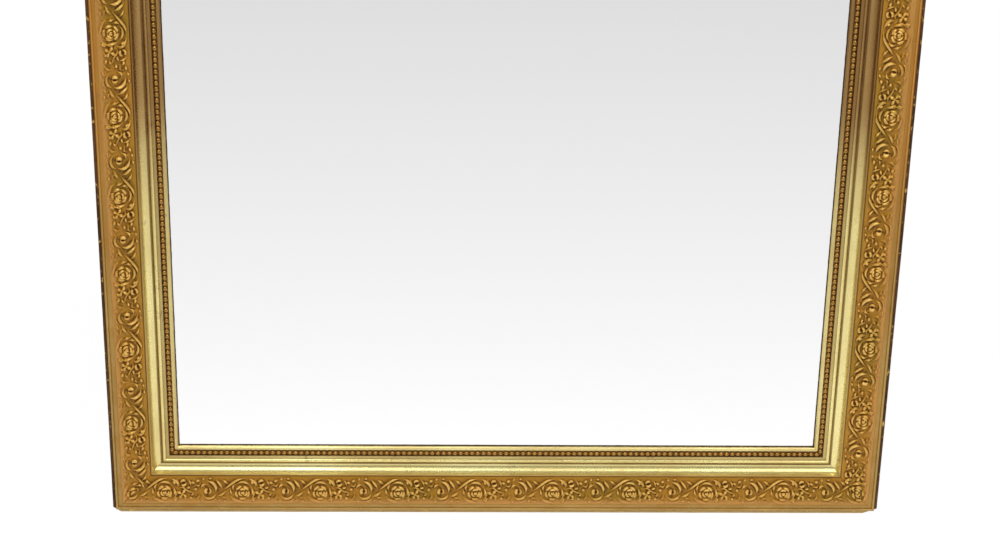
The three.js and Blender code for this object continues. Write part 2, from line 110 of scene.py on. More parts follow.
class Side(Enum):
    """The four sides, each with the way out from the sight opening."""

    LEFT = (-1, 0, 0)
    TOP = (0, 0, 1)
    RIGHT = (1, 0, 0)
    BOTTOM = (0, 0, -1)

    @property
    def label(self) -> str:
        """The side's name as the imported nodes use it."""
        return self.name.lower()

    @property
    def is_stile(self) -> bool:
        """True for the two upright sides."""
        return self.value[0] != 0

    @property
    def sight(self) -> float:
        """The length of the sight edge on this side."""
        return SIZES.sight_height if self.is_stile else SIZES.sight_width

    @property
    def outward(self) -> Vector:
        """The unit vector out from the sight opening."""
        return Vector(self.value)

    def place(self) -> Matrix:
        """Gives the place of the side's own axes: x out from the sight edge, y up from the wall, z along it.

        Returns:
            The matrix from those axes, in metres, to the row frame.
        """
        forward = Vector((0, -1, 0))
        along = self.outward.cross(forward)
        half = (SIZES.sight_width if self.is_stile else SIZES.sight_height) / 2 * MM
        basis = Matrix((self.outward, forward, along)).transposed().to_4x4()
        return Matrix.Translation(self.outward * half) @ basis


# Moves of the bench -----------------------------------------------------------------------------------------


def pick(*objects: Piece) -> Piece:
    """Selects these objects alone and makes the first one active.

    Args:
        objects: What to select.

    Returns:
        The active object.
    """
    bpy.ops.object.select_all(action="DESELECT")
    for piece in objects:
        piece.select_set(True)
    bpy.context.view_layer.objects.active = objects[0]
    return objects[0]


def added(operator: Callable[..., object], **settings: object) -> Piece:
    """Adds a piece while nothing else is selected.

    Args:
        operator: What adds it.
        settings: The operator's settings.

    Returns:
        The new piece.
    """
    bpy.ops.object.select_all(action="DESELECT")
    operator(**settings)
    return bpy.context.active_object


def apply_place() -> None:
    """Puts the selected piece's place, turn and scale into its data."""
    bpy.ops.object.transform_apply(location=True, rotation=True, scale=True)


@contextmanager
def editing(piece: Piece, mode: str = "VERT", marked: Sequence[bool] | None = None) -> Iterator[None]:
    """Opens a piece in edit mode for a few moves.

    Args:
        piece: The piece to edit.
        mode: What is selected: VERT, EDGE or FACE.
        marked: Which edges or faces start selected, or None for all.

    Yields:
        Nothing. Edit mode ends with the block.
    """
    pick(piece)
    bpy.ops.object.mode_set(mode="EDIT")
    bpy.ops.mesh.select_mode(type=mode)
    bpy.ops.mesh.select_all(action="SELECT" if marked is None else "DESELECT")
    if marked is not None:
        bpy.ops.object.mode_set(mode="OBJECT")
        items = piece.data.edges if mode == "EDGE" else piece.data.polygons
        items.foreach_set("select", np.asarray(marked, bool))
        bpy.ops.object.mode_set(mode="EDIT")
    yield
    bpy.ops.object.mode_set(mode="OBJECT")


def outline(name: str, points: Sequence[Point]) -> Piece:
    """Draws a closed outline as one face in the plane z = 0.

    Args:
        name: The piece's name.
        points: The outline's corners in millimetres.

    Returns:
        The flat face.
    """
    piece = added(bpy.ops.mesh.primitive_circle_add, vertices=len(points), fill_type="NGON")
    piece.name = name
    for vertex, (x, y) in zip(piece.data.vertices, points):
        vertex.co = (x * MM, y * MM, 0)
    return piece


def extrude(piece: Piece, distance: float) -> None:
    """Draws a flat face out into a closed solid along z.

    Args:
        piece: The flat face.
        distance: How far, in millimetres.
    """
    with editing(piece, "FACE"):
        move = {"value": (0, 0, distance * MM)}
        bpy.ops.mesh.extrude_region_move(TRANSFORM_OT_translate=move)
        bpy.ops.mesh.select_all(action="SELECT")
        bpy.ops.mesh.normals_make_consistent(inside=False)


def trim(piece: Piece, point: Vector, normal: Vector) -> None:
    """Cuts away what lies in front of a plane and closes the cut.

    Args:
        piece: The piece to cut.
        point: A point of the plane.
        normal: The plane's normal, towards what goes.
    """
    with editing(piece):
        bpy.ops.mesh.bisect(plane_co=point, plane_no=normal, use_fill=True, clear_outer=True)


def apply_modifier(piece: Piece, kind: str, settings: Mapping[str, object]) -> None:
    """Adds a modifier and applies it.

    Args:
        piece: The piece that it shapes.
        kind: The modifier's type.
        settings: Its settings by name.
    """
    pick(piece)
    modifier = piece.modifiers.new(kind.lower(), kind)
    for key, value in settings.items():
        setattr(modifier, key, value)
    bpy.ops.object.modifier_apply(modifier=modifier.name)


def join(name: str, pieces: Sequence[Piece]) -> Piece:
    """Joins pieces into one object.

    Args:
        name: The joined piece's name.
        pieces: What is joined.

    Returns:
        The joined piece.
    """
    joined = pick(*pieces)
    bpy.ops.object.join()
    joined.name = name
    joined.data.name = name
    return joined


def settle(piece: Piece, place: Matrix | None = None, angle: float = 35.0) -> None:
    """Puts a piece's place into its mesh and smooths its shading.

    Args:
        piece: The piece.
        place: Where its own axes go, or None if it is in place.
        angle: Edges sharper than this, in degrees, stay sharp.
    """
    pick(piece)
    apply_place()
    if place is not None:
        piece.data.transform(place)
    if place is not None and place.determinant() < 0:
        piece.data.flip_normals()
    bpy.ops.object.shade_smooth_by_angle(angle=math.radians(angle), keep_sharp_edges=False)
    piece.data.update()


def copied(piece: Piece, name: str) -> Piece:
    """Copies a piece with a mesh of its own.

    Args:
        piece: What is copied.
        name: The copy's name.

    Returns:
        The copy, which rides on nothing yet.
    """
    copy = piece.copy()
    copy.data = piece.data.copy()
    copy.name = name
    copy.data.name = name
    bpy.context.scene.collection.objects.link(copy)
    for key in list(copy.keys()):
        del copy[key]
    copy.parent = None
    copy.hide_render = False
    copy.hide_viewport = False
    return copy


def arc(centre: Point, radius: float, start: float, end: float, steps: int, rise: float = 0.0) -> list[Point]:
    """Gives the points of a round part of an outline.

    Args:
        centre: Its centre.
        radius: Its radius.
        start: Where it starts, in degrees.
        end: Where it ends, in degrees.
        steps: How many straight steps it has.
        rise: Its upright radius where that is another, or 0.

    Returns:
        The points, first to last.
    """
    angles = [math.radians(start + (end - start) * i / steps) for i in range(steps + 1)]
    return [(centre[0] + radius * math.cos(a), centre[1] + (rise or radius) * math.sin(a)) for a in angles]


def eased(corners: Sequence[tuple[float, float, float]], steps: int = 3) -> list[Point]:
    """Rounds the corners of an outline.

    Args:
        corners: Each corner with the radius that it is eased by, or 0.
        steps: Straight steps at each eased corner.

    Returns:
        The outline's points.
    """
    points: list[Point] = []
    for i, (x, y, radius) in enumerate(corners):
        here = Vector((x, y))
        if radius <= 0:
            points.append((x, y))
            continue
        before = (Vector(corners[i - 1][:2]) - here).normalized()
        after = (Vector(corners[(i + 1) % len(corners)][:2]) - here).normalized()
        half = before.angle(after) / 2
        reach = radius / math.tan(half)
        centre = here + (before + after).normalized() * (radius / math.sin(half))
        first = here + before * reach - centre
        last = here + after * reach - centre
        for k in range(steps + 1):
            spoke = first.slerp(last, k / steps)
            points.append(tuple(centre + spoke.normalized() * radius))
    return points


# Shader benchwork -------------------------------------------------------------------------------------------


def srgb(red: float, green: float, blue: float) -> Colour:
    """Turns a colour as it looks, 0 to 255, into the shader's own values.

    Args:
        red: Red, 0 to 255.
        green: Green, 0 to 255.
        blue: Blue, 0 to 255.

    Returns:
        The colour with full alpha.
    """
    shares = [value / 255 for value in (red, green, blue)]
    linear = [v / 12.92 if v <= 0.04045 else ((v + 0.055) / 1.055) ** 2.4 for v in shares]
    return (*linear, 1.0)


class Wire:
    """One value in a shader. Arithmetic on it adds Math nodes."""

    def __init__(self, bench: "ShaderBench", socket: bpy.types.NodeSocket) -> None:
        """Wraps a socket of a shader's tree."""
        self.bench = bench
        self.socket = socket

    def maths(self, operation: str, *others: "Wire | float", clamp: bool = False) -> "Wire":
        """Adds one Math node.

        Args:
            operation: The Math node's operation.
            others: Its other values.
            clamp: True to keep the result from 0 to 1.

        Returns:
            The result.
        """
        settings = {"operation": operation, "use_clamp": clamp}
        node = self.bench.node("Math", settings, dict(enumerate((self, *others))))
        return Wire(self.bench, node.outputs[0])

    def __add__(self, other: "Wire | float") -> "Wire":
        """Adds."""
        return self.maths("ADD", other)

    __radd__ = __add__

    def __sub__(self, other: "Wire | float") -> "Wire":
        """Subtracts."""
        return self.maths("SUBTRACT", other)

    def __rsub__(self, other: float) -> "Wire":
        """Subtracts this value from a number."""
        return self.bench.number(other, "SUBTRACT", self)

    def __mul__(self, other: "Wire | float") -> "Wire":
        """Multiplies."""
        return self.maths("MULTIPLY", other)

    __rmul__ = __mul__

    def __truediv__(self, other: "Wire | float") -> "Wire":
        """Divides."""
        return self.maths("DIVIDE", other)

    def __abs__(self) -> "Wire":
        """Drops the sign."""
        return self.maths("ABSOLUTE")

    def larger(self, other: "Wire | float") -> "Wire":
        """Gives the larger of the two."""
        return self.maths("MAXIMUM", other)

    def clipped(self) -> "Wire":
        """Keeps the value from 0 to 1."""
        return self.maths("ADD", 0.0, clamp=True)

    def fade(self, low: float, high: float) -> "Wire":
        """Rises smoothly from 0 at low to 1 at high, or falls if high is the lower of the two.

        Args:
            low: Where it is 0.
            high: Where it is 1.

        Returns:
            A mask from 0 to 1.
        """
        settings = {"interpolation_type": "SMOOTHSTEP"}
        flip = low > high
        ends = {"From Min": min(low, high), "From Max": max(low, high)}
        sides = {"To Min": 1.0 if flip else 0.0, "To Max": 0.0 if flip else 1.0}
        node = self.bench.node("MapRange", settings, {"Value": self, **ends, **sides})
        return Wire(self.bench, node.outputs["Result"])


class ShaderBench:
    """A material's or the world's node tree, and the ways to add to it."""

    def __init__(self, tree: bpy.types.NodeTree) -> None:
        """Empties the tree."""
        self.tree = tree
        tree.nodes.clear()

    def node(
        self,
        kind: str,
        settings: Mapping[str, object] | None = None,
        inputs: Mapping[str | int, object] | None = None,
    ) -> bpy.types.Node:
        """Adds any node.

        Args:
            kind: The node's type, without the words that all shader nodes share.
            settings: Its settings, set first. "stops" holds a colour ramp's places and colours.
            inputs: The values, or the wires, of its sockets.

        Returns:
            The node.
        """
        node = self.tree.nodes.new(f"ShaderNode{kind}")
        for key, value in (settings or {}).items():
            if key == "stops":
                self._set_stops(node.color_ramp, value)
            else:
                setattr(node, key, value)
        for key, value in (inputs or {}).items():
            if isinstance(value, Wire):
                self.tree.links.new(value.socket, node.inputs[key])
            else:
                node.inputs[key].default_value = value
        return node

    @staticmethod
    def _set_stops(ramp: bpy.types.ColorRamp, stops: Sequence[tuple[float, Sequence[float]]]) -> None:
        """Fills a colour ramp.

        Args:
            ramp: The ramp.
            stops: The place and colour of each stop, in order.
        """
        while len(ramp.elements) < len(stops):
            ramp.elements.new(1.0)
        for element, (place, colour) in zip(ramp.elements, stops):
            element.position = place
            element.color = colour

    def wire(self, node: bpy.types.Node, output: str | int = 0) -> Wire:
        """Wraps one output of a node."""
        return Wire(self, node.outputs[output])

    def number(self, value: float, operation: str, other: Wire) -> Wire:
        """Adds a Math node that starts from a number."""
        node = self.node("Math", {"operation": operation}, {0: value, 1: other})
        return self.wire(node)

    def place(self, stretch: Sequence[float] = (1, 1, 1)) -> Wire:
        """Gives the point's place on the piece, stretched.

        Args:
            stretch: Scale along x, y and z.

        Returns:
            The place.
        """
        spot = self.wire(self.node("TexCoord"), "Object")
        return self.wire(self.node("Mapping", None, {"Vector": spot, "Scale": stretch}))

    def noise(
        self, spot: Wire, scale: float, detail: float = 3.0, rough: float = 0.55, warp: float = 0.0
    ) -> Wire:
        """Gives a cloudy pattern.

        Args:
            spot: Where the point is.
            scale: How fine it is: waves per metre.
            detail: How many finer layers it has.
            rough: How strong those are.
            warp: How far it is pulled about.

        Returns:
            The pattern, about 0.5 on average.
        """
        inputs = {"Vector": spot, "Scale": scale, "Detail": detail, "Roughness": rough, "Distortion": warp}
        return self.wire(self.node("TexNoise", None, inputs))

    def axes(self, spot: Wire) -> tuple[Wire, Wire, Wire]:
        """Splits a place into x, y and z."""
        node = self.node("SeparateXYZ", None, {0: spot})
        return self.wire(node, 0), self.wire(node, 1), self.wire(node, 2)

    def blend(self, share: Wire | float, first: object, second: object, how: str = "MIX") -> Wire:
        """Mixes two colours.

        Args:
            share: How much of the second.
            first: A colour or a wire.
            second: A colour or a wire.
            how: The way of mixing.

        Returns:
            The mixed colour.
        """
        settings = {"data_type": "RGBA", "blend_type": how}
        node = self.node("Mix", settings, {0: share, 6: first, 7: second})
        return self.wire(node, 2)

    def curve(self, value: Wire, stops: Sequence[Point]) -> Wire:
        """Reads a value off a row of grey stops.

        Args:
            value: Where to read, from 0 to 1.
            stops: Places and levels, in order.

        Returns:
            The level.
        """
        greys = [(place, (level, level, level, 1.0)) for place, level in stops]
        return self.wire(self.node("ValToRGB", {"stops": greys}, {"Fac": value}))

    def grey(self, level: Wire) -> Wire:
        """Makes a grey of this level."""
        return self.wire(self.node("CombineColor", None, {0: level, 1: level, 2: level}))

    def mixed(self, share: Wire, first: bpy.types.Node, second: bpy.types.Node) -> bpy.types.Node:
        """Mixes two shaders, with this share of the second."""
        return self.node("MixShader", None, {0: share, 1: self.wire(first), 2: self.wire(second)})

    def attribute(self, name: str) -> Wire:
        """Reads a number that is kept on the mesh."""
        return self.wire(self.node("Attribute", {"attribute_name": name}), "Fac")

    def bump(self, height: Wire, depth: float, strength: float = 1.0) -> Wire:
        """Makes a small relief.

        Args:
            height: The relief, 0 to 1.
            depth: Its full height in metres.
            strength: How much it shows.

        Returns:
            The normal.
        """
        inputs = {"Height": height, "Distance": depth, "Strength": strength}
        return self.wire(self.node("Bump", None, inputs))


class Finish:
    """A material made of nodes. Each kind of finish fills in paint()."""

    name: str
    constants: tuple[tuple[str, float], ...] = ()

    def paint(self, bench: ShaderBench) -> Mapping[str, Wire]:
        """Makes what changes over the surface.

        Args:
            bench: The material's tree.

        Returns:
            Wires by the name of the shader's socket.
        """
        raise NotImplementedError

    def material(self) -> bpy.types.Material:
        """Gives the finish's material, made on first use.

        Returns:
            The material. Its name ends in _finish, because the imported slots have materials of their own.
        """
        name = f"{self.name}_finish"
        found = bpy.data.materials.get(name)
        if found is not None:
            return found
        material = bpy.data.materials.new(name)
        material.use_nodes = True
        bench = ShaderBench(material.node_tree)
        inputs = {**dict(self.constants), **self.paint(bench)}
        shader = bench.node("BsdfPrincipled", None, inputs)
        bench.node("OutputMaterial", None, {"Surface": bench.wire(shader)})
        return material


# Finishes ---------------------------------------------------------------------------------------------------


def out_from_sight(bench: ShaderBench, spot: Wire) -> Wire:
    """Gives how far out from the sight edge a point lies, in millimetres.

    Args:
        bench: The material's tree.
        spot: The point's place.

    Returns:
        The distance, below 0 over the glass.
    """
    x, _, z = bench.axes(spot)
    aside = abs(x) - SIZES.sight_width / 2 * MM
    above = abs(z) - SIZES.sight_height / 2 * MM
    return aside.larger(above) * 1000.0


@dataclass(frozen=True)
class MouldingGilding(Finish):
    """Old gilding on the moulding and the slip: burnished on the round members, matt and brown between.

    High up on the stiles, the inner members are darkened with painted shade, standing for the darker
    surroundings that they reflect, and the outer band is paler.
    """

    name: str = "moulding_gilding"
    burnished: Colour = srgb(255, 241, 168)
    matt: Colour = srgb(174, 126, 48)
    grime_and_shade: Colour = srgb(90, 56, 10)
    dulled: Colour = srgb(168, 122, 66)
    pale: Colour = srgb(234, 177, 88)
    bole: Colour = srgb(128, 66, 34)
    constants: tuple[tuple[str, float], ...] = (
        ("Metallic", 0.92), ("Coat Weight", 0.12), ("Coat Roughness", 0.25),
    )

    def paint(self, bench: ShaderBench) -> Mapping[str, Wire]:
        """Makes the burnish, the quirks darkened with real soiling and painted shade, and the rubbed high
        lines.
        """
        spot = bench.place()
        out = out_from_sight(bench, spot) / SIZES.frame_width
        width = SIZES.frame_width

        def rows(levels: Sequence[Point]) -> list[tuple[float, float]]:
            """Turns places in millimetres into places on a ramp."""
            return [(place / width, level) for place, level in levels]

        burnish = bench.curve(out, rows([
            (0, 0.78), (5.6, 0.82), (6.3, 0.1), (13.6, 0.15), (14.4, 0.6), (18.6, 0.6),
            (19.2, 1), (24.2, 1), (24.8, 0.35), (27.2, 0.4), (28.4, 1), (39.6, 0.95), (40.4, 0.3),
            (42.4, 0.2), (43, 0.05), (87, 0.1), (88.5, 0.16), (94, 0.16), (95, 0.24), (97.5, 0.2),
            (98.3, 0.1),
        ]))
        # Darker in the quirks, at the slip's outer fall and at the frieze's edge: real soiling, deepened with
        # painted shade.
        grime_and_shade = bench.curve(out, rows([
            (0, 0.3), (0.6, 0.1), (5.4, 0.08), (6.2, 0.6), (7, 0.5), (12, 0.6), (13.4, 0.8), (14.1, 0.6),
            (14.9, 0.2), (18.2, 0.3), (18.9, 0.5), (19.5, 0.05), (23.8, 0.1), (24.6, 0.9), (26.4, 0.6),
            (27.6, 0.5), (28.8, 0.06), (39.8, 0.05), (41, 0.12), (42.6, 0.5), (44, 0.4), (47, 0.2), (86, 0.15), (88, 0.12),
            (92, 0.06), (94.2, 0.25), (95, 0.08), (98.3, 0.15),
        ]))
        broad = bench.noise(spot, 5.0, 2.0)
        cloud = bench.noise(spot, 38.0, 4.0, 0.6)
        fine = bench.noise(spot, 420.0, 4.0, 0.65)
        shine = (burnish * (0.55 + 0.75 * broad) + 0.35 * (cloud - 0.5)).clipped()
        dirt_and_shade = (grime_and_shade * (0.5 + cloud) + 0.25 * (fine - 0.5)).clipped()
        rubbed = cloud.fade(0.6, 0.74) * fine.fade(0.45, 0.6) * 0.6
        gold = bench.blend(shine, self.matt, self.burnished)
        x, _, z = bench.axes(spot)
        on_stile = (abs(x) - (SIZES.sight_width / 2 - 1) * MM).fade(-0.001, 0.001)
        # Painted shade: high on the stiles the inner members are darkened to stand for the darker surroundings
        # that they reflect.
        upper_stile_shade = (z + 0.06 * (cloud - 0.5)).fade(-0.42, -0.2) * (out * width).fade(48, 43)
        gold = bench.blend(on_stile * upper_stile_shade * 0.85, gold, self.dulled)
        gold = bench.blend(on_stile * z.fade(-0.65, -0.1) * (out * width).fade(84, 88), gold, self.pale)
        gold = bench.blend(rubbed, gold, self.bole)
        gold = bench.blend(dirt_and_shade * 0.85, gold, self.grime_and_shade)
        gold = bench.blend(0.22, gold, bench.grey(broad), "OVERLAY")
        rough = 0.42 - 0.24 * shine + 0.25 * dirt_and_shade + 0.12 * fine
        relief = 0.6 * cloud + 0.4 * fine
        return {"Base Color": gold, "Roughness": rough.clipped(), "Normal": bench.bump(relief, 0.0002, 0.55)}


@dataclass(frozen=True)
class PressedGilding(Finish):
    """Bronzed gilding on the pressed ornament: brown in the hollows from patina and painted shade, rubbed
    bright on the high parts.
    """

    name: str = "pressed_gilding"
    ground: Colour = srgb(176, 125, 38)
    high: Colour = srgb(232, 188, 102)
    hollow: Colour = srgb(64, 35, 6)
    green_tone: Colour = srgb(146, 114, 26)
    margin: Colour = srgb(196, 142, 74)
    constants: tuple[tuple[str, float], ...] = (
        ("Metallic", 0.6), ("Coat Weight", 0.12), ("Coat Roughness", 0.25), ("Specular IOR Level", 0.3),
    )

    def paint(self, bench: ShaderBench) -> Mapping[str, Wire]:
        """Makes the tone by height and hollow, with blotches and a grain."""
        spot = bench.place()
        lift = bench.attribute("lift")
        cavity = bench.attribute("hollow")
        broad = bench.noise(spot, 7.0, 2.0)
        cloud = bench.noise(spot, 60.0, 4.0, 0.6)
        fine = bench.noise(spot, 700.0, 3.0, 0.6)
        raised = (lift.fade(0.35, 0.95) * 0.8 + 0.5 * (cloud - 0.45) - 0.6 * cavity).clipped()
        # Hollows: patina deepened with painted shade, an occlusion darkening at the foot of each lump.
        sunk_patina_and_shade = (cavity.fade(0.1, 0.55) + lift.fade(0.3, 0.12) * 0.1 + 0.4 * (fine - 0.5)).clipped()
        gold = bench.blend(broad.fade(0.45, 0.65) * 0.6, self.ground, self.green_tone)
        gold = bench.blend(out_from_sight(bench, spot).fade(76, 84) * 0.85, gold, self.margin)
        gold = bench.blend(raised, gold, self.high)
        gold = bench.blend(sunk_patina_and_shade * 0.85, gold, self.hollow)
        rough = 0.32 + 0.3 * sunk_patina_and_shade - 0.1 * raised + 0.12 * fine
        relief = 0.55 * fine + 0.45 * bench.noise(spot, 220.0, 4.0, 0.6)
        return {"Base Color": gold, "Roughness": rough.clipped(), "Normal": bench.bump(relief, 0.0004, 0.6)}


@dataclass(frozen=True)
class PearlGilding(Finish):
    """Gilding on the pearls, with soiling and painted shade between them."""

    name: str = "pearl_gilding"
    bright: Colour = srgb(178, 132, 62)
    foot: Colour = srgb(92, 56, 12)
    constants: tuple[tuple[str, float], ...] = (
        ("Metallic", 0.88), ("Coat Weight", 0.2), ("Coat Roughness", 0.25),
    )

    def paint(self, bench: ShaderBench) -> Mapping[str, Wire]:
        """Makes the pearls bright on top and dark at the foot with soiling and painted shade."""
        spot = bench.place()
        lift = bench.attribute("lift")
        cloud = bench.noise(spot, 45.0, 3.0)
        fine = bench.noise(spot, 600.0, 3.0)
        # Darker towards the foot of each pearl: soiling together with painted shade between the pearls.
        clean_and_lit = (lift.fade(0.1, 0.7) + 0.5 * (cloud - 0.5)).clipped()
        gold = bench.blend(clean_and_lit, self.foot, self.bright)
        rough = 0.5 - 0.22 * clean_and_lit + 0.1 * fine
        return {"Base Color": gold, "Roughness": rough.clipped(), "Normal": bench.bump(fine, 0.0002, 0.4)}


@dataclass(frozen=True)
class WornBoard(Finish):
    """The side boards: brown paint over wood, with flecks of old gold left on the front edge."""

    name: str = "worn_gilding"
    paint_tone: Colour = srgb(84, 52, 22)
    dark: Colour = srgb(50, 30, 10)
    fleck: Colour = srgb(206, 168, 88)
    bare: Colour = srgb(140, 104, 66)
    painted_floor_bounce: Colour = srgb(176, 148, 94)
    constants: tuple[tuple[str, float], ...] = (("Specular IOR Level", 0.2),)

    def paint(self, bench: ShaderBench) -> Mapping[str, Wire]:
        """Makes the brown paint, its dark stains, the gold flecks and the lighter tone along the foot, a
        painted bounce of light from the floor.
        """
        spot = bench.place()
        _, depth, height = bench.axes(spot)
        half = (SIZES.sight_height / 2 + SIZES.board_inner) * MM
        front = depth.fade(-0.049, -0.0552)
        # Painted light: the bottom board's front is lightened to stand for the light bounced up from the floor.
        foot = height.fade(-half + 0.0002, -half - 0.0006)
        broad = bench.noise(spot, 9.0, 3.0)
        cloud = bench.noise(spot, 90.0, 5.0, 0.65)
        fine = bench.noise(spot, 380.0, 4.0, 0.6)
        flecks = cloud.fade(0.58, 0.63) * front
        chips = bench.noise(spot, 120.0, 5.0, 0.7, 0.6).fade(0.66, 0.7) * (1 - front)
        body = bench.blend(broad.fade(0.3, 0.7), self.dark, self.paint_tone)
        body = bench.blend(foot * (0.8 + 0.2 * cloud.fade(0.6, 0.4)), body, self.painted_floor_bounce)
        body = bench.blend(chips, body, self.bare)
        body = bench.blend(flecks, body, self.fleck)
        rough = 0.62 - 0.2 * flecks + 0.2 * (fine - 0.5)
        relief = 0.5 * cloud + 0.5 * fine
        return {
            "Base Color": body,
            "Metallic": flecks * 0.8,
            "Roughness": rough.clipped(),
            "Normal": bench.bump(relief, 0.0007, 0.7),
        }


@dataclass(frozen=True)
class OldWood(Finish):
    """Aged softwood with grain along one axis, growth rings, stains and specks of dirt."""

    name: str
    light: Colour
    dark: Colour
    grain_axis: int = 0
    shift: float = 0.0
    stain_tone: Colour = srgb(66, 46, 30)
    speck_tone: Colour = srgb(50, 34, 22)
    constants: tuple[tuple[str, float], ...] = (("Specular IOR Level", 0.25),)

    def drawn_out(self, bench: ShaderBench, share: float) -> Wire:
        """Gives the point's place, moved by the piece's own shift and pressed together along the grain.

        Args:
            bench: The material's tree.
            share: The share of the length that is left.

        Returns:
            The place.
        """
        stretch = [share if axis == self.grain_axis else 1.0 for axis in range(3)]
        inputs = {"Vector": bench.place(), "Location": (self.shift,) * 3, "Scale": stretch}
        return bench.wire(bench.node("Mapping", None, inputs))

    def paint(self, bench: ShaderBench) -> Mapping[str, Wire]:
        """Makes the grain along the chosen axis."""
        spot = bench.place()
        rings = bench.noise(self.drawn_out(bench, 0.05), 24.0, 2.0, 0.45, 0.4)
        bands = (rings * 60.0).maths("SINE") * 0.5 + 0.5
        fibre = bench.noise(self.drawn_out(bench, 0.02), 900.0, 3.0, 0.6)
        stain = bench.noise(spot, 6.0, 4.0, 0.6)
        specks = bench.noise(spot, 260.0, 2.0)
        share = (0.4 * bands + 0.35 * fibre + 0.4 * (stain - 0.45)).clipped()
        wood = bench.blend(share, self.light, self.dark)
        wood = bench.blend(stain.fade(0.6, 0.8) * 0.45, wood, self.stain_tone)
        wood = bench.blend(specks.fade(0.7, 0.78) * 0.5, wood, self.speck_tone)
        rough = 0.74 + 0.18 * (fibre - 0.5)
        relief = 0.7 * fibre + 0.3 * bands
        return {"Base Color": wood, "Roughness": rough.clipped(), "Normal": bench.bump(relief, 0.0004, 0.6)}


@dataclass(frozen=True)
class SilveredGlass(Finish):
    """The mirror plate: spotless silvering, darkened along the sight edge for worn silvering and the slip's
    painted shade, plain grey paint on the back.
    """

    name: str = "mirror_glass"
    silver: Colour = (0.985, 0.985, 0.985, 1.0)
    edge: Colour = srgb(44, 28, 18)
    back_paint: Colour = srgb(92, 90, 88)

    def paint(self, bench: ShaderBench) -> Mapping[str, Wire]:
        """Makes the dark line at the slip, worn silvering with painted shade, and the painted back."""
        spot = bench.place()
        out = out_from_sight(bench, spot)
        _, depth, _ = bench.axes(spot)
        cloud = bench.noise(spot, 90.0, 3.0)
        # Dark line along the sight edge: worn silvering together with the slip's painted shade.
        line = (out + (cloud - 0.5)).fade(-1.9, -1.2)
        back = depth.fade(-0.0255, -0.0245)
        dull = line.larger(back)
        colour = bench.blend(line, self.silver, self.edge)
        colour = bench.blend(back, colour, self.back_paint)
        haze = bench.noise(spot, 3.0, 2.0) * 0.004
        return {"Base Color": colour, "Metallic": 1 - 0.9 * dull, "Roughness": haze + 0.5 * dull}


@dataclass(frozen=True)
class OldSteel(Finish):
    """Dull old steel with spots of rust."""

    name: str = "old_steel"
    steel: Colour = srgb(150, 148, 144)
    rust: Colour = srgb(110, 66, 36)

    def paint(self, bench: ShaderBench) -> Mapping[str, Wire]:
        """Makes the dull patches, the rust and fine scratches."""
        spot = bench.place()
        cloud = bench.noise(spot, 160.0, 4.0, 0.6)
        fine = bench.noise(bench.place((1, 1, 0.1)), 1600.0, 2.0)
        rust = cloud.fade(0.55, 0.68)
        colour = bench.blend(rust * 0.85, self.steel, self.rust)
        rough = 0.3 + 0.4 * rust + 0.15 * fine
        relief = 0.6 * cloud + 0.4 * fine
        return {
            "Base Color": colour,
            "Metallic": 1 - 0.75 * rust,
            "Roughness": rough.clipped(),
            "Normal": bench.bump(relief, 0.0002, 0.5),
        }


BACK_STILE_WOOD = OldWood("stile_softwood", srgb(186, 146, 100), srgb(128, 88, 52), 2)
BACK_RAIL_WOOD = OldWood("rail_softwood", srgb(186, 146, 100), srgb(128, 88, 52))


def dress(piece: Piece, finish: Finish) -> None:
    """Gives a piece one finish all over."""
    piece.data.materials.clear()
    piece.data.materials.append(finish.material())


def mount(piece: Piece, body: str, node: str) -> None:
    """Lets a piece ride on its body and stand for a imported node.

    Args:
        piece: The finished piece.
        body: The body that it moves with.
        node: The node that it replaces.
    """
    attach(piece, body)
    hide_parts(node)
    log.info("%s: %d faces on %s", piece.name, len(piece.data.polygons), body)


# Gilt lengths -----------------------------------------------------------------------------------------------


@dataclass
class MitredLength:
    """One side's length of a section, cut at 45 degrees at both ends."""

    side: Side
    gap: float = 0.2
    spare: float = 5.0

    def solid(self, name: str, points: Sequence[Point]) -> Piece:
        """Draws out the section in the side's own axes and mitres it.

        Args:
            name: The piece's name.
            points: The section, in millimetres out and up.

        Returns:
            The closed length, not yet in place.
        """
        piece = outline(name, points)
        reach = self.side.sight / 2 + SIZES.frame_width + self.spare
        piece.data.transform(Matrix.Translation((0, 0, -reach * MM)))
        extrude(piece, 2 * reach)
        self.mitre(piece)
        return piece

    def mitre(self, piece: Piece) -> None:
        """Cuts both ends of a piece that lies in the side's own axes."""
        end = (self.side.sight / 2 - self.gap) * MM
        trim(piece, Vector((0, 0, end)), Vector((-1, 0, 1)).normalized())
        trim(piece, Vector((0, 0, -end)), Vector((-1, 0, -1)).normalized())


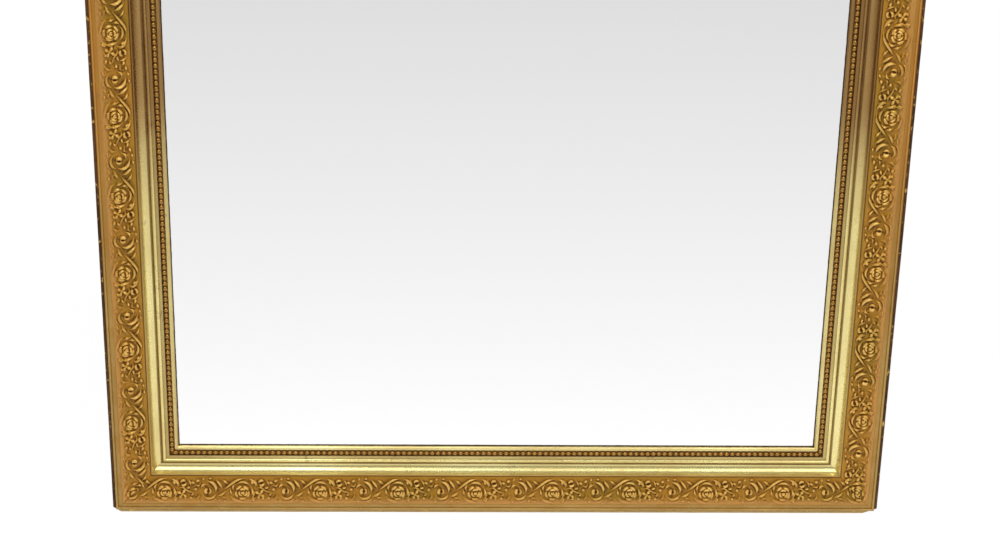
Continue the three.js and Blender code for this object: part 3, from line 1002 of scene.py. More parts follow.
@dataclass
class GiltMoulding:
    """The slip and the moulding of all four sides."""

    sizes: FrameSizes = SIZES
    slip_edge: float = 29.4
    slip_crest: float = 31.45
    slip_crest_at: float = 1.9
    tongue_level: float = 28.3

    def slip_section(self) -> list[Point]:
        """Gives the slip's section, with its crest and edge eased."""
        s = self.sizes
        return eased([
            (0, s.frame_face, 0), (s.tongue, s.frame_face, 0), (s.tongue, self.tongue_level, 0),
            (s.slip_face, self.tongue_level, 0), (s.slip_face, self.slip_crest, 0.5),
            (self.slip_crest_at, self.slip_crest, 0.9), (0, self.slip_edge, 0.5),
        ], 5)

    def moulding_section(self) -> list[Point]:
        """Gives the moulding's section, from the seat on the slip's tongue round to the bead channel."""
        s = self.sizes
        seat = self.tongue_level + s.seat_gap
        foot = [(s.channel_inner, seat), (s.tongue + s.seat_gap, seat), (s.tongue + s.seat_gap, s.frame_face),
                (s.band_middle + s.band_radius, s.frame_face)]
        band = arc((s.band_middle, s.band_level), s.band_radius, 0, 180, 12)
        cove = arc((s.cove_inner, s.cove_top), s.cove_width, 0, -90, 18, s.cove_rise)
        frieze = [(s.frieze_outer, s.frieze_level + s.frieze_rise, 0.4), (s.frieze_inner, s.frieze_level, 0),
                  (s.frieze_inner, s.fillet_level, 0.4), (s.cove_inner + s.cove_width, s.fillet_level, 0.25)]
        quirk = [(s.cove_inner, s.quirk_level), (s.quirk_inner, s.quirk_level)]
        torus = arc((s.torus_middle, s.flat_level), s.torus_radius, 0, 180, 14)
        flat = [(s.channel_outer, s.flat_level, 0.5), (s.channel_outer, s.channel_level, 0),
                (s.channel_inner, s.channel_level, 0)]
        middle = eased([(*band[-1], 0), *frieze, (*cove[0], 0)])[1:-1]
        last = eased([(*torus[-1], 0), *flat, (s.channel_inner, seat, 0)])[1:-1]
        return [*foot, *band, *middle, *cove, *quirk, *torus, *last]

    def build(self) -> None:
        """Makes and dresses the eight lengths."""
        finish = MouldingGilding()
        for side in Side:
            slip = MitredLength(side).solid(f"gilt_slip_{side.label}", self.slip_section())
            moulding = MitredLength(side).solid(f"gilt_moulding_{side.label}", self.moulding_section())
            for piece, slot, node in ((slip, "slip_gilding", "slip"), (moulding, "gilding", "moulding")):
                settle(piece, side.place(), 32)
                dress(piece, finish)
                mount(piece, "body", f"{node}_{side.label}")


@dataclass
class PearlString:
    """The string of pearls in the bead channel: one pearl is modelled and repeated along each side."""

    pitch: float = 8.87
    middle: float = 10.2
    across: float = 3.85
    along: float = 4.5
    height: float = 3.9
    string_radius: float = 1.7
    corner_room: float = 0.6

    def pearl(self) -> Piece:
        """Models one pearl, a little longer along the string than across."""
        foot = (SIZES.channel_level + SIZES.seat_gap) * MM
        pearl = added(
            bpy.ops.mesh.primitive_ico_sphere_add,
            subdivisions=2,
            radius=1.0,
            location=(self.middle * MM, foot, 0),
            scale=(self.across * MM, self.height * MM, self.along * MM),
        )
        apply_place()
        trim(pearl, Vector((0, foot, 0)), Vector((0, -1, 0)))
        return pearl

    def build(self) -> None:
        """Makes the four strings."""
        finish = PearlGilding()
        foot = SIZES.channel_level + SIZES.seat_gap
        for side in Side:
            corner = side.sight / 2 + self.middle
            count = round((2 * corner) / self.pitch)
            pitch = (2 * corner) / (count - 1 + 2 * self.corner_room)
            row = self.pearl()
            row.data.transform(Matrix.Translation((0, 0, -(count - 1) / 2 * pitch * MM)))
            spacing = {"use_relative_offset": False, "use_constant_offset": True, "count": count}
            apply_modifier(row, "ARRAY", {**spacing, "constant_offset_displace": (0, 0, pitch * MM)})
            string = arc((self.middle, foot), self.string_radius, 0, 180, 6)
            base = MitredLength(side).solid("string", string)
            piece = join(f"pearl_string_{side.label}", [row, base])
            note_height(piece, 1, foot * MM, self.height * MM)
            settle(piece, side.place(), 50)
            dress(piece, finish)
            mount(piece, "body", f"pearls_{side.label}")


def note_height(piece: Piece, axis: int, foot: float, full: float) -> None:
    """Keeps each point's height, from 0 at the foot to 1 at the top, on the mesh.

    Args:
        piece: The piece, in its own axes.
        axis: Which axis is up.
        foot: The height of the foot.
        full: The full height above it.
    """
    mesh = piece.data
    spots = np.empty(len(mesh.vertices) * 3, np.float32)
    mesh.vertices.foreach_get("co", spots)
    lift = np.clip((spots.reshape(-1, 3)[:, axis] - foot) / full, 0, 1)
    mesh.attributes.new("lift", "FLOAT", "POINT").data.foreach_set("value", lift)


def note_hollows(piece: Piece, reach: float, rounds: int) -> None:
    """Keeps on the mesh how hollow the surface is at each point: 1 in a deep groove, 0 on flats and crests.

    Args:
        piece: The piece, as one skin.
        reach: The hollow's depth, in metres, that counts as full.
        rounds: How often the height is spread to the neighbours.
    """
    mesh = piece.data
    count = len(mesh.vertices)
    spots = np.empty(count * 3, np.float64)
    mesh.vertices.foreach_get("co", spots)
    normals = np.empty(count * 3, np.float64)
    mesh.vertices.foreach_get("normal", normals)
    spots, normals = spots.reshape(-1, 3), normals.reshape(-1, 3)
    edges = np.empty(len(mesh.edges) * 2, np.int64)
    mesh.edges.foreach_get("vertices", edges)
    first, second = edges.reshape(-1, 2).T
    valence = np.bincount(np.concatenate([first, second]), minlength=count)[:, None].clip(1)
    spread = spots.copy()
    for _ in range(rounds):
        total = np.zeros_like(spread)
        np.add.at(total, first, spread[second])
        np.add.at(total, second, spread[first])
        spread = total / valence
    depth = ((spread - spots) * normals).sum(1)
    hollow = np.clip(depth / reach, 0, 1).astype(np.float32)
    mesh.attributes.new("hollow", "FLOAT", "POINT").data.foreach_set("value", hollow)


# Pressed ornament -------------------------------------------------------------------------------------------


@dataclass(frozen=True)
class Bud:
    """A rounded lump: a petal, a berry or the ball at a scroll's end."""

    x: float
    y: float
    length: float
    width: float
    height: float
    turn: float = 0.0
    foot: float = 1.2

    def build(self) -> Piece:
        """Adds the lump at its size and place."""
        return added(
            bpy.ops.mesh.primitive_uv_sphere_add,
            segments=20,
            ring_count=12,
            radius=1.0,
            location=(self.x * MM, self.y * MM, self.foot * MM),
            rotation=(0, 0, math.radians(self.turn)),
            scale=(self.length / 2 * MM, self.width / 2 * MM, self.height * MM),
        )


@dataclass(frozen=True)
class Blade:
    """A leaf or a stem: a smooth line whose thickness swells and tapers."""

    path: tuple[Point, ...]
    girth: tuple[float, ...]
    foot: float = 1.3
    flatness: float = 1.0

    def build(self) -> Piece:
        """Draws the line, gives it its girth and makes it a mesh."""
        piece = added(bpy.ops.curve.primitive_bezier_curve_add)
        curve = piece.data
        spline = curve.splines[0]
        spline.bezier_points.add(len(self.path) - 2)
        for knot, (x, y), radius in zip(spline.bezier_points, self.path, self.girth):
            knot.co = (x * MM, y * MM, 0)
            knot.handle_left_type = knot.handle_right_type = "AUTO"
            knot.radius = radius
        curve.dimensions = "3D"
        curve.bevel_depth = MM
        curve.bevel_resolution = 3
        curve.resolution_u = 8
        curve.use_fill_caps = True
        piece.scale = (1, 1, self.flatness)
        piece.location = (0, 0, self.foot * MM)
        bpy.ops.object.convert(target="MESH")
        apply_place()
        return bpy.context.active_object


def crescent(centre: Point, radius: float, start: float, end: float, girth: float, foot: float) -> Blade:
    """Gives a petal that lies along a circle, fat in its middle.

    Args:
        centre: The circle's centre.
        radius: Its radius.
        start: Where the petal starts, in degrees.
        end: Where it ends, in degrees.
        girth: Its greatest half thickness.
        foot: How high its middle lies.

    Returns:
        The petal.
    """
    inner = arc(centre, radius * 0.9, start, start, 1)[:1]
    path = (*inner, *arc(centre, radius, start + (end - start) * 0.25, start + (end - start) * 0.75, 2),
            *arc(centre, radius * 1.04, end, end, 1)[:1])
    return Blade(path, (0.35 * girth, 0.95 * girth, girth, 0.85 * girth, 0.3 * girth), foot, 0.95)


@dataclass
class FriezePattern:
    """One repeat of the frieze: a rose, small flowers, a scroll and leaf blades on a thin ground.

    It is laid flat: x runs along the frieze, y towards the glass and z up from the ground.
    """

    repeat: float = 121.0
    half_width: float = 22.3
    ground: float = 0.9
    rose_at: Point = (0.0, -4.3)
    spare: float = 6.0
    voxel: float = 0.42
    skin: float = 0.25
    trimmed: float = 0.2
    hollow_reach: float = 0.6
    hollow_rounds: int = 9
    faces: int = 11000
    full_height: float = 5.4
    inner_height: float = 1.45
    outer_height: float = 0.72

    def rose(self) -> list[Blade | Bud]:
        """Gives the rose: two rings of crescent petals round a bud."""
        x, y = self.rose_at
        petals: list[Blade | Bud] = [
            Bud(x, y, 24.0, 24.0, 1.5, 0, 0.2),
            Bud(x + 1.9, y + 0.9, 3.2, 3.2, 2.2, 0, 2.8),
        ]
        for i in range(5):
            petals.append(crescent((x, y), 9.9, 20 + 72 * i, 88 + 72 * i, 2.6, 1.4))
        for i in range(3):
            petals.append(crescent((x + 0.8, y + 0.4), 5.6, 40 + 120 * i, 146 + 120 * i, 2.0, 2.4))
        petals.append(crescent((x + 1.5, y + 0.8), 2.7, 150, 330, 1.2, 3.1))
        return petals

    @staticmethod
    def floret(x: float, y: float, radius: float, turn: float, petals: int) -> list[Bud]:
        """Gives a small flower.

        Args:
            x: Its middle along the frieze.
            y: Its middle across the frieze.
            radius: From its middle to a petal's tip.
            turn: The first petal's angle, in degrees.
            petals: How many petals it has.

        Returns:
            Its lumps.
        """
        buds = [Bud(x, y, radius * 0.55, radius * 0.55, 1.6, 0, 1.6)]
        for i in range(petals):
            angle = math.radians(turn + 360 / petals * i)
            spot = (x + 0.62 * radius * math.cos(angle), y + 0.62 * radius * math.sin(angle))
            buds.append(Bud(*spot, radius * 0.86, radius * 0.66, 2.6, math.degrees(angle)))
        return buds

    def flowers(self) -> list[Blade | Bud]:
        """Gives the rose, the small flowers and the loose lumps of the repeat."""
        ring = (-91.3, 11.4)
        volute = (-53.6, -1.8)
        return [
            *self.rose(),
            *self.floret(-93.4, -7.1, 8.2, 150, 4),
            *(crescent(ring, 4.0, 30 + 180 * i, 185 + 180 * i, 2.2, 1.6) for i in range(2)),
            crescent(volute, 3.4, 90, 265, 2.9, 2.2),
            crescent(volute, 4.4, -80, 70, 2.0, 1.6),
            Bud(-88.8, -13.6, 5.4, 4.2, 2.9, 30),
            Bud(-62.3, -18.0, 5.6, 4.2, 2.8, 0),
            Bud(-79.7, -13.2, 6.4, 5.0, 2.9, -30),
            Bud(-77.6, -7.2, 6.2, 3.4, 2.6, 40),
            Bud(-83.3, 3.8, 7.0, 3.6, 2.9, 15),
            Bud(-72.4, 1.2, 5.6, 4.6, 3.0, 0),
            Bud(-68.8, 15.0, 6.4, 4.4, 2.9, 20),
            Bud(-76.4, 11.8, 6.2, 4.0, 2.9, -25),
            Bud(-36.2, -16.8, 6.0, 3.8, 2.7, 25),
            Bud(16.6, -17.0, 5.6, 3.8, 2.6, -35),
            Bud(-104.8, -3.6, 6.4, 3.8, 2.9, 70),
            Bud(-105.6, 11.8, 5.8, 3.8, 2.8, -60),
            Bud(-103.4, -15.0, 6.6, 3.8, 2.7, 55),
            Bud(-27.0, -18.0, 5.8, 3.6, 2.7, -10),
            Bud(-49.6, 18.6, 5.4, 3.4, 2.6, 0),
            Bud(-60.2, 17.8, 5.2, 3.4, 2.6, 30),
        ]

    @staticmethod
    def blades() -> list[Blade]:
        """Gives every leaf and stem of the repeat."""
        return [
            # the scroll: round its ball to the foot of the leaves
            Blade(((-62.0, -9.4), (-53.4, -13.9), (-45.4, -11.6), (-41.6, -6.6)), (0.6, 2.3, 2.5, 0.7), 1.5),
            Blade(((-41.4, -3.4), (-41.2, 4.4), (-46.4, 11.4), (-54.6, 14.0)), (0.7, 2.6, 2.5, 0.6), 1.5),
            Blade(((-64.6, 2.0), (-61.4, 7.6), (-55.0, 8.6)), (0.5, 2.3, 0.6), 1.3),
            Blade(((-53.0, -18.4), (-46.4, -18.2), (-41.8, -15.0)), (0.6, 1.9, 0.6), 1.1),
            # blades beyond the scroll, which open like a V
            Blade(((-39.1, -9.7), (-34.6, -8.6), (-30.2, -6.2), (-26.0, -2.2)),
                  (0.8, 2.4, 2.3, 0.5), 1.3, 0.95),
            Blade(((-32.6, -11.0), (-28.8, -12.4), (-24.4, -12.2)), (0.9, 2.1, 0.5), 1.2),
            Blade(((-40.9, 16.6), (-37.6, 12.6), (-34.0, 8.1), (-30.8, 1.4)),
                  (0.7, 2.2, 2.3, 0.5), 1.3, 0.95),
            Blade(((-31.2, 16.2), (-26.6, 13.4), (-22.0, 9.2)), (0.7, 2.3, 0.5), 1.3, 0.95),
            Blade(((-29.0, 0.2), (-22.4, 5.4), (-15.5, 10.8), (-6.0, 16.6), (3.0, 18.2)),
                  (0.6, 1.8, 2.2, 2.1, 0.6), 1.3, 0.95),
            # leaves that hold the rose
            Blade(((-15.6, -8.4), (-17.8, -3.6), (-18.6, 2.0)), (0.6, 2.4, 0.6), 1.3, 0.95),
            Blade(((-14.0, -0.6), (-14.6, 4.6), (-11.6, 9.6)), (0.5, 2.2, 0.6), 1.3, 0.95),
            Blade(((-18.2, -10.6), (-13.4, -15.4), (-5.6, -18.4), (2.4, -19.4)),
                  (0.7, 2.3, 2.4, 0.5), 1.2, 0.9),
            Blade(((-9.0, 9.4), (-2.0, 12.6), (5.8, 11.6), (11.6, 7.8)), (0.5, 2.0, 2.1, 0.5), 1.3, 0.95),
            Blade(((13.4, 5.6), (15.6, -1.4), (14.2, -8.4)), (0.5, 2.2, 0.6), 1.3, 0.95),
            Blade(((9.4, 18.2), (15.0, 15.8), (19.8, 11.4), (21.4, 4.6)), (0.6, 2.1, 2.1, 0.5), 1.2, 0.95),
            Blade(((11.2, -18.5), (17.4, -10.9)), (0.6, 2.3), 1.2),
            Blade(((20.6, -1.6), (17.6, -7.0), (16.4, -12.6)), (0.6, 2.2, 0.6), 1.3, 0.95),
            # stems that run to the small flowers
            Blade(((-98.6, 3.2), (-92.0, 3.6), (-86.4, -0.6), (-80.6, -3.2), (-74.2, -5.0)),
                  (0.5, 1.5, 1.6, 1.5, 0.5), 1.2),
            Blade(((-84.6, 16.6), (-80.8, 11.6), (-80.0, 6.2)), (0.6, 1.9, 0.5), 1.2),
            Blade(((-74.0, 7.6), (-68.0, 6.6), (-65.0, 9.2)), (0.5, 1.7, 0.5), 1.2),
            Blade(((-72.6, -15.8), (-68.0, -11.6), (-67.2, -5.4)), (0.6, 2.1, 0.5), 1.3, 0.95),
            Blade(((-101.8, 16.8), (-99.4, 10.6), (-98.4, 6.4)), (0.6, 1.8, 0.5), 1.2),
        ]

    def wrapped(self) -> list[Piece]:
        """Builds the lumps and blades, and those that cross an end of it once more at the other end."""
        pieces = []
        half = self.repeat / 2
        for part in (*self.flowers(), *self.blades()):
            piece = part.build()
            apply_place()
            spots = np.array([vertex.co.x for vertex in piece.data.vertices]) / MM
            home = round(float(spots.mean()) / self.repeat) * self.repeat
            piece.data.transform(Matrix.Translation((-home * MM, 0, 0)))
            pieces.append(piece)
            ends = ((-self.repeat, spots.max() - home > half), (self.repeat, spots.min() - home < -half))
            for shift, crosses in ends:
                if crosses:
                    twin = copied(piece, "twin")
                    twin.data.transform(Matrix.Translation((shift * MM, 0, 0)))
                    pieces.append(twin)
        return pieces

    def build(self) -> Piece:
        """Makes one repeat as a single closed skin.

        Returns:
            The repeat, with its height and hollows kept on the mesh.
        """
        plate = added(
            bpy.ops.mesh.primitive_cube_add,
            size=1,
            location=(0, 0, self.ground / 2 * MM),
            scale=((self.repeat + 2 * self.spare) * MM, 2 * self.half_width * MM, self.ground * MM),
        )
        apply_place()
        tile = join("frieze_repeat", [plate, *self.wrapped()])
        apply_modifier(tile, "REMESH", {"mode": "VOXEL", "voxel_size": self.voxel * MM})
        apply_modifier(tile, "SMOOTH", {"factor": 0.5, "iterations": 3})
        half = self.repeat / 2 * MM
        trim(tile, Vector((0, 0, self.skin * MM)), Vector((0, 0, -1)))
        for way in (-1, 1):
            trim(tile, Vector((way * half, 0, 0)), Vector((way, 0, 0)))
            trim(tile, Vector((0, way * (self.half_width - self.trimmed) * MM, 0)), Vector((0, way, 0)))
        self.lower_edge(tile)
        note_hollows(tile, self.hollow_reach * MM, self.hollow_rounds)
        faces = len(tile.data.polygons) * 2
        apply_modifier(tile, "DECIMATE", {"ratio": min(1.0, self.faces / faces)})
        tile.data.transform(Matrix.Translation((0, 0, -self.skin * MM)))
        note_height(tile, 2, 0.0, self.full_height * MM)
        return tile

    def lower_edge(self, tile: Piece) -> None:
        """Presses the relief lower towards the outer edge, where the frieze stands highest."""
        count = len(tile.data.vertices)
        spots = np.empty(count * 3, np.float32)
        tile.data.vertices.foreach_get("co", spots)
        spots = spots.reshape(-1, 3)
        out = np.clip((2 - spots[:, 1] / MM) / (self.half_width + 2), 0, 1)
        spots[:, 2] *= self.inner_height + (self.outer_height - self.inner_height) * out
        tile.data.vertices.foreach_set("co", spots.ravel())


@dataclass
class FriezeOrnament:
    """The pressed ornament on all four sides."""

    sizes: FrameSizes = SIZES
    rail_repeat: float = 121.0
    stile_repeat: float = 125.5
    mitre_gap: float = 0.3
    rose_on: Mapping[Side, float] = field(
        default_factory=lambda: {Side.LEFT: 9.0, Side.TOP: 0.0, Side.RIGHT: -15.0, Side.BOTTOM: 35.0}
    )

    def on_frieze(self, side: Side) -> Matrix:
        """Gives the place of the flat pattern: x against the run, y to the glass, z off the ground.

        Args:
            side: The side.

        Returns:
            The matrix from the pattern's axes to the side's own axes.
        """
        s = self.sizes
        slope = s.frieze_slope
        middle = (s.frieze_inner + s.frieze_outer) / 2
        level = s.frieze_level + s.frieze_rise / 2
        inward = Vector((-math.cos(slope), -math.sin(slope), 0))
        lift = Vector((-math.sin(slope), math.cos(slope), 0))
        basis = Matrix((Vector((0, 0, -1)), inward, lift)).transposed().to_4x4()
        spot = Vector((middle, level, 0)) * MM + lift * s.seat_gap * MM
        return Matrix.Translation(spot) @ basis

    def build(self) -> None:
        """Repeats the pattern along each side and cuts its ends at the mitres."""
        finish = PressedGilding()
        tile = FriezePattern(self.rail_repeat).build()
        for side in Side:
            repeat = self.stile_repeat if side.is_stile else self.rail_repeat
            half = side.sight / 2 + self.sizes.frame_width
            phase = -self.rose_on[side]
            first = math.ceil((-half - repeat / 2 - phase) / repeat)
            last = math.floor((half + repeat / 2 - phase) / repeat)
            strip = copied(tile, f"frieze_ornament_{side.label}")
            strip.data.transform(Matrix.Diagonal((repeat / self.rail_repeat, 1, 1, 1)))
            strip.data.transform(Matrix.Translation(((phase + first * repeat) * MM, 0, 0)))
            spacing = {"use_relative_offset": False, "use_constant_offset": True, "count": last - first + 1}
            apply_modifier(strip, "ARRAY", {**spacing, "constant_offset_displace": (repeat * MM, 0, 0)})
            strip.data.transform(self.on_frieze(side))
            MitredLength(side, self.mitre_gap).mitre(strip)
            settle(strip, side.place(), 60)
            dress(strip, finish)
            mount(strip, "body", f"ornament_{side.label}")
        bpy.data.objects.remove(tile)


# Side boards and back ---------------------------------------------------------------------------------------


@dataclass(frozen=True)
class Chip:
    """A corner knocked off the side boards.

    along_x and along_z are how far it reaches on the two front edges, and depth how far back.
    """

    x: int
    z: int
    along_x: float
    along_z: float
    depth: float


@dataclass
class SideBoards:
    """The worn boards round the outside, whose front edge is the dark step."""

    sizes: FrameSizes = SIZES
    mitre_gap: float = 0.15
    wear: float = 0.45
    wear_spread: float = 35.0
    cuts: int = 120
    chips: tuple[Chip, ...] = (
        Chip(-1, -1, 13, 9, 60), Chip(1, -1, 24, 9, 70), Chip(-1, 1, 7, 6, 20), Chip(1, 1, 9, 7, 18),
    )

    def section(self) -> list[Point]:
        """Gives the board's section, with its outer arrises eased by wear."""
        s = self.sizes
        return eased([
            (s.board_inner, 0, 0), (s.frame_width, 0, 0.8), (s.frame_width, s.board_face, 0.9),
            (s.board_inner, s.board_face, 0),
        ], 4)

    def chip_off(self, piece: Piece, chip: Chip) -> None:
        """Cuts one corner off a board by a slanting plane.

        Args:
            piece: The board, in place.
            chip: The corner.
        """
        s = self.sizes
        x = chip.x * (s.sight_width / 2 + s.frame_width)
        z = chip.z * (s.sight_height / 2 + s.frame_width)
        front = -s.board_face
        corners = [
            Vector((x - chip.x * chip.along_x, front, z)) * MM,
            Vector((x, front, z - chip.z * chip.along_z)) * MM,
            Vector((x, front + chip.depth, z)) * MM,
        ]
        normal = (corners[1] - corners[0]).cross(corners[2] - corners[0]).normalized()
        if normal.dot(Vector((chip.x, -0.3, chip.z))) < 0:
            normal.negate()
        trim(piece, corners[0], normal)

    def build(self) -> None:
        """Makes, wears and dresses the four boards."""
        finish = WornBoard()
        clouds = bpy.data.textures.new("board_wear", "CLOUDS")
        clouds.noise_scale = self.wear_spread * MM
        for side in Side:
            board = MitredLength(side, self.mitre_gap).solid(f"worn_side_board_{side.label}", self.section())
            spots = [vertex.co for vertex in board.data.vertices]
            long = [abs(spots[e.vertices[0]].z - spots[e.vertices[1]].z) > 0.5 for e in board.data.edges]
            with editing(board, "EDGE", long):
                bpy.ops.mesh.subdivide(number_cuts=self.cuts)
            board.data.transform(side.place())
            wear = {"texture": clouds, "strength": -self.wear * MM, "mid_level": 0.0}
            apply_modifier(board, "DISPLACE", {**wear, "texture_coords": "LOCAL"})
            for chip in self.chips:
                towards = chip.x if side.is_stile else chip.z
                if towards == sum(side.value):
                    self.chip_off(board, chip)
            settle(board, None, 40)
            dress(board, finish)
            mount(board, "body", f"side_board_{side.label}")


@dataclass
class WoodenBack:
    """The back frame, the backboards and the glazing blocks."""

    easing: float = 0.9
    board_easing: float = 0.6
    board_fade: float = 12.0
    board_shift: float = 1.7

    def eased_copy(self, node: str, name: str, easing: float) -> Piece:
        """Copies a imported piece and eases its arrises.

        Args:
            node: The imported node.
            name: The new piece's name.
            easing: The width taken off each arris, in millimetres.

        Returns:
            The new piece.
        """
        piece = copied(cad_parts[node], name)
        with editing(piece):
            bpy.ops.mesh.remove_doubles(threshold=1e-6)
        with editing(piece, "FACE"):
            bpy.ops.mesh.dissolve_limited(angle_limit=math.radians(1))
        limit = {"limit_method": "ANGLE", "angle_limit": math.radians(40)}
        settings = {"width": easing * MM, "segments": 2, **limit}
        apply_modifier(piece, "BEVEL", settings)
        settle(piece, None, 40)
        return piece

    def build(self) -> None:
        """Makes and dresses the wooden pieces at the back."""
        for side in Side:
            wood = BACK_STILE_WOOD if side.is_stile else BACK_RAIL_WOOD
            node = f"back_frame_{side.label}"
            length = self.eased_copy(node, f"back_frame_length_{side.label}", self.easing)
            dress(length, wood)
            mount(length, "body", node)
            for i in (1, 2):
                dress(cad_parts[f"glazing_block_{side.label}_{i}"], wood)
        for i in range(1, 6):
            board = self.eased_copy(f"backboard_{i}", f"thin_board_{i}", self.board_easing)
            fade = self.board_fade * math.sin(2.3 * i)
            light, dark = srgb(154 + fade, 116 + fade, 78 + fade), srgb(100 + fade, 68 + fade, 42 + fade)
            dress(board, OldWood(f"board_softwood_{i}", light, dark, 0, self.board_shift * i))
            mount(board, "body", f"backboard_{i}")


# Hangers and screws -----------------------------------------------------------------------------------------


@dataclass
class Hangers:
    """The folded straps, their rings and all the screws at the back."""

    x: float = 547.0
    z: float = 560.0
    standoff: float = 4.1
    ply: float = 1.5
    bore: float = 2.3
    strap_width: float = 20.0
    strap_length: float = 53.5
    wire: float = 2.0
    half_width: float = 19.0
    corner: float = 4.0
    straight: float = 18.0
    rest_tilt: float = 2.32
    strap_screw_drops: tuple[float, float] = (19.4, 44.5)
    strap_corner: float = 6.5
    slot_width: float = 0.9
    slot_depth: float = 0.8
    head_radius: float = 4.0
    head_depth: float = 1.0
    head_sink: float = 0.5
    crown: float = 1.6
    shank_radius: float = 2.0
    point_radius: float = 0.4
    shank_depth: float = 12.0

    def ring(self, name: str) -> Piece:
        """Bends one D-shaped ring, its bar through the origin."""
        side = self.half_width - self.corner
        path = [
            *arc((-side, -self.corner), self.corner, 180, 90, 8),
            *arc((side, -self.corner), self.corner, 90, 0, 8),
            *arc((0, -self.straight), self.half_width, 0, -180, 48),
        ]
        piece = added(bpy.ops.curve.primitive_nurbs_path_add)
        curve = piece.data
        curve.splines.clear()
        spline = curve.splines.new("POLY")
        spline.points.add(len(path) - 1)
        for knot, (x, z) in zip(spline.points, path):
            knot.co = (x * MM, 0, z * MM, 1)
        spline.use_cyclic_u = True
        curve.bevel_depth = self.wire * MM
        curve.bevel_resolution = 4
        bpy.ops.object.convert(target="MESH")
        piece.name = name
        return piece

    def strap_section(self) -> list[Point]:
        """Gives the strap's edge as a hairpin: x is up along the strap, y off the wood."""
        gap, ply, seam = SIZES.seat_gap, self.ply, 0.04
        top = gap + 2 * ply
        middle = gap + ply
        outer = self.bore + ply - 0.06
        turn_out = 180 - math.degrees(math.asin((top - self.standoff) / outer))
        fold = arc((0, self.standoff), outer, -90, turn_out, 32)
        slit = math.degrees(math.asin((middle + seam - self.standoff) / self.bore))
        inner = arc((0, self.standoff), self.bore, 180 - slit, -90, 28)
        end = -self.strap_length
        return [(end, gap), *fold, (end, top), (end, middle + seam), *inner, (0, middle), (end, middle)]

    def strap(self, name: str) -> Piece:
        """Folds one strap and rounds its free end."""
        piece = outline(name, self.strap_section())
        extrude(piece, self.strap_width)
        piece.data.transform(Matrix.Translation((0, 0, -self.strap_width / 2 * MM)))
        turn = Matrix(((0, 0, 1, 0), (0, -1, 0, 0), (1, 0, 0, 0), (0, 0, 0, 1)))
        piece.data.transform(turn)
        with editing(piece):
            bpy.ops.mesh.normals_make_consistent(inside=False)
        spots = [vertex.co.copy() for vertex in piece.data.vertices]
        low = min(spot.z for spot in spots)
        half = self.strap_width / 2 * MM
        corner = [
            all(abs(spots[v].z - low) < 1e-6 and abs(abs(spots[v].x) - half) < 1e-6 for v in e.vertices)
            and abs(spots[e.vertices[0]].y - spots[e.vertices[1]].y) > 1 * MM
            for e in piece.data.edges
        ]
        with editing(piece, "EDGE", corner):
            bpy.ops.mesh.bevel(offset=self.strap_corner * MM, segments=6, affect="EDGES")
        return piece

    def screw_head(self, name: str, crown: float) -> Piece:
        """Turns one slotted head, its seat at y = 0 and its top towards +y.

        Args:
            name: The piece's name.
            crown: How high the head is domed, or 0 for a flat countersunk head.

        Returns:
            The screw's head and shank.
        """
        head = added(bpy.ops.mesh.primitive_cylinder_add, vertices=32, radius=self.head_radius * MM,
                     depth=self.head_depth * MM)
        with editing(head, "FACE", [face.normal.z > 0.9 for face in head.data.polygons]):
            for step in (0.35, 0.3, 0.22, 0.12) if crown else ():
                rise = {"value": (0, 0, crown * step * MM)}
                bpy.ops.mesh.extrude_region_move(TRANSFORM_OT_translate=rise)
                share = 1 - 0.55 * (1 - step)
                bpy.ops.transform.resize(value=(share, share, 1))
            if not crown:
                bpy.ops.mesh.bevel(offset=0.15 * MM, segments=1, affect="EDGES")
        high = max(vertex.co.z for vertex in head.data.vertices)
        cutter = added(
            bpy.ops.mesh.primitive_cube_add,
            size=1,
            location=(0, 0, high),
            scale=(3 * self.head_radius * MM, self.slot_width * MM, 2 * self.slot_depth * MM),
        )
        apply_place()
        apply_modifier(head, "BOOLEAN", {"operation": "DIFFERENCE", "object": cutter, "solver": "EXACT"})
        bpy.data.objects.remove(cutter)
        shank = added(
            bpy.ops.mesh.primitive_cone_add,
            vertices=16,
            radius1=self.point_radius * MM,
            radius2=self.shank_radius * MM,
            depth=self.shank_depth * MM,
            location=(0, 0, -(self.shank_depth / 2 + 0.4) * MM),
        )
        apply_place()
        screw = join(name, [head, shank])
        screw.data.transform(Matrix.Rotation(-math.pi / 2, 4, "X"))
        return screw

    def build(self) -> None:
        """Makes the hangers and screws, each modelled once and copied."""
        steel = OldSteel()
        ring, strap = self.ring("ring_model"), self.strap("strap_model")
        round_head = self.screw_head("round_head_model", self.crown)
        flat_head = self.screw_head("flat_head_model", 0.0)
        for label, way in (("left", -1), ("right", 1)):
            bar = Vector((way * self.x, self.standoff, self.z)) * MM
            tilt = Matrix.Rotation(math.radians(self.rest_tilt), 4, "X")
            self.place(copied(ring, f"hanging_ring_{label}"), Matrix.Translation(bar) @ tilt, steel,
                       f"ring_{label}", f"ring_{label}")
            foot = Vector((way * self.x, 0, self.z)) * MM
            flip = Matrix.Diagonal((1, -1, 1, 1))
            self.place(copied(strap, f"folded_strap_{label}"), Matrix.Translation(foot) @ flip, steel,
                       "body", f"strap_{label}")
            for i, drop in enumerate(self.strap_screw_drops, 1):
                level = SIZES.seat_gap * 2 + 2 * self.ply + self.head_sink
                seat = Vector((way * self.x, level, self.z - drop)) * MM
                turn = Matrix.Rotation(0.7 * i + 0.4 * way, 4, "Y")
                screw = copied(round_head, f"strap_screw_head_{label}_{i}")
                where = Matrix.Translation(seat) @ turn
                self.place(screw, where, steel, "body", f"strap_screw_{label}_{i}")
            for i in range(1, 6):
                node = f"board_screw_{label}_{i}"
                low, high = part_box(node)
                seat = Vector(((low.x + high.x) / 2, high.y - self.head_sink * MM, (low.z + high.z) / 2))
                turn = Matrix.Rotation(1.3 * i + 0.5 * way, 4, "Y")
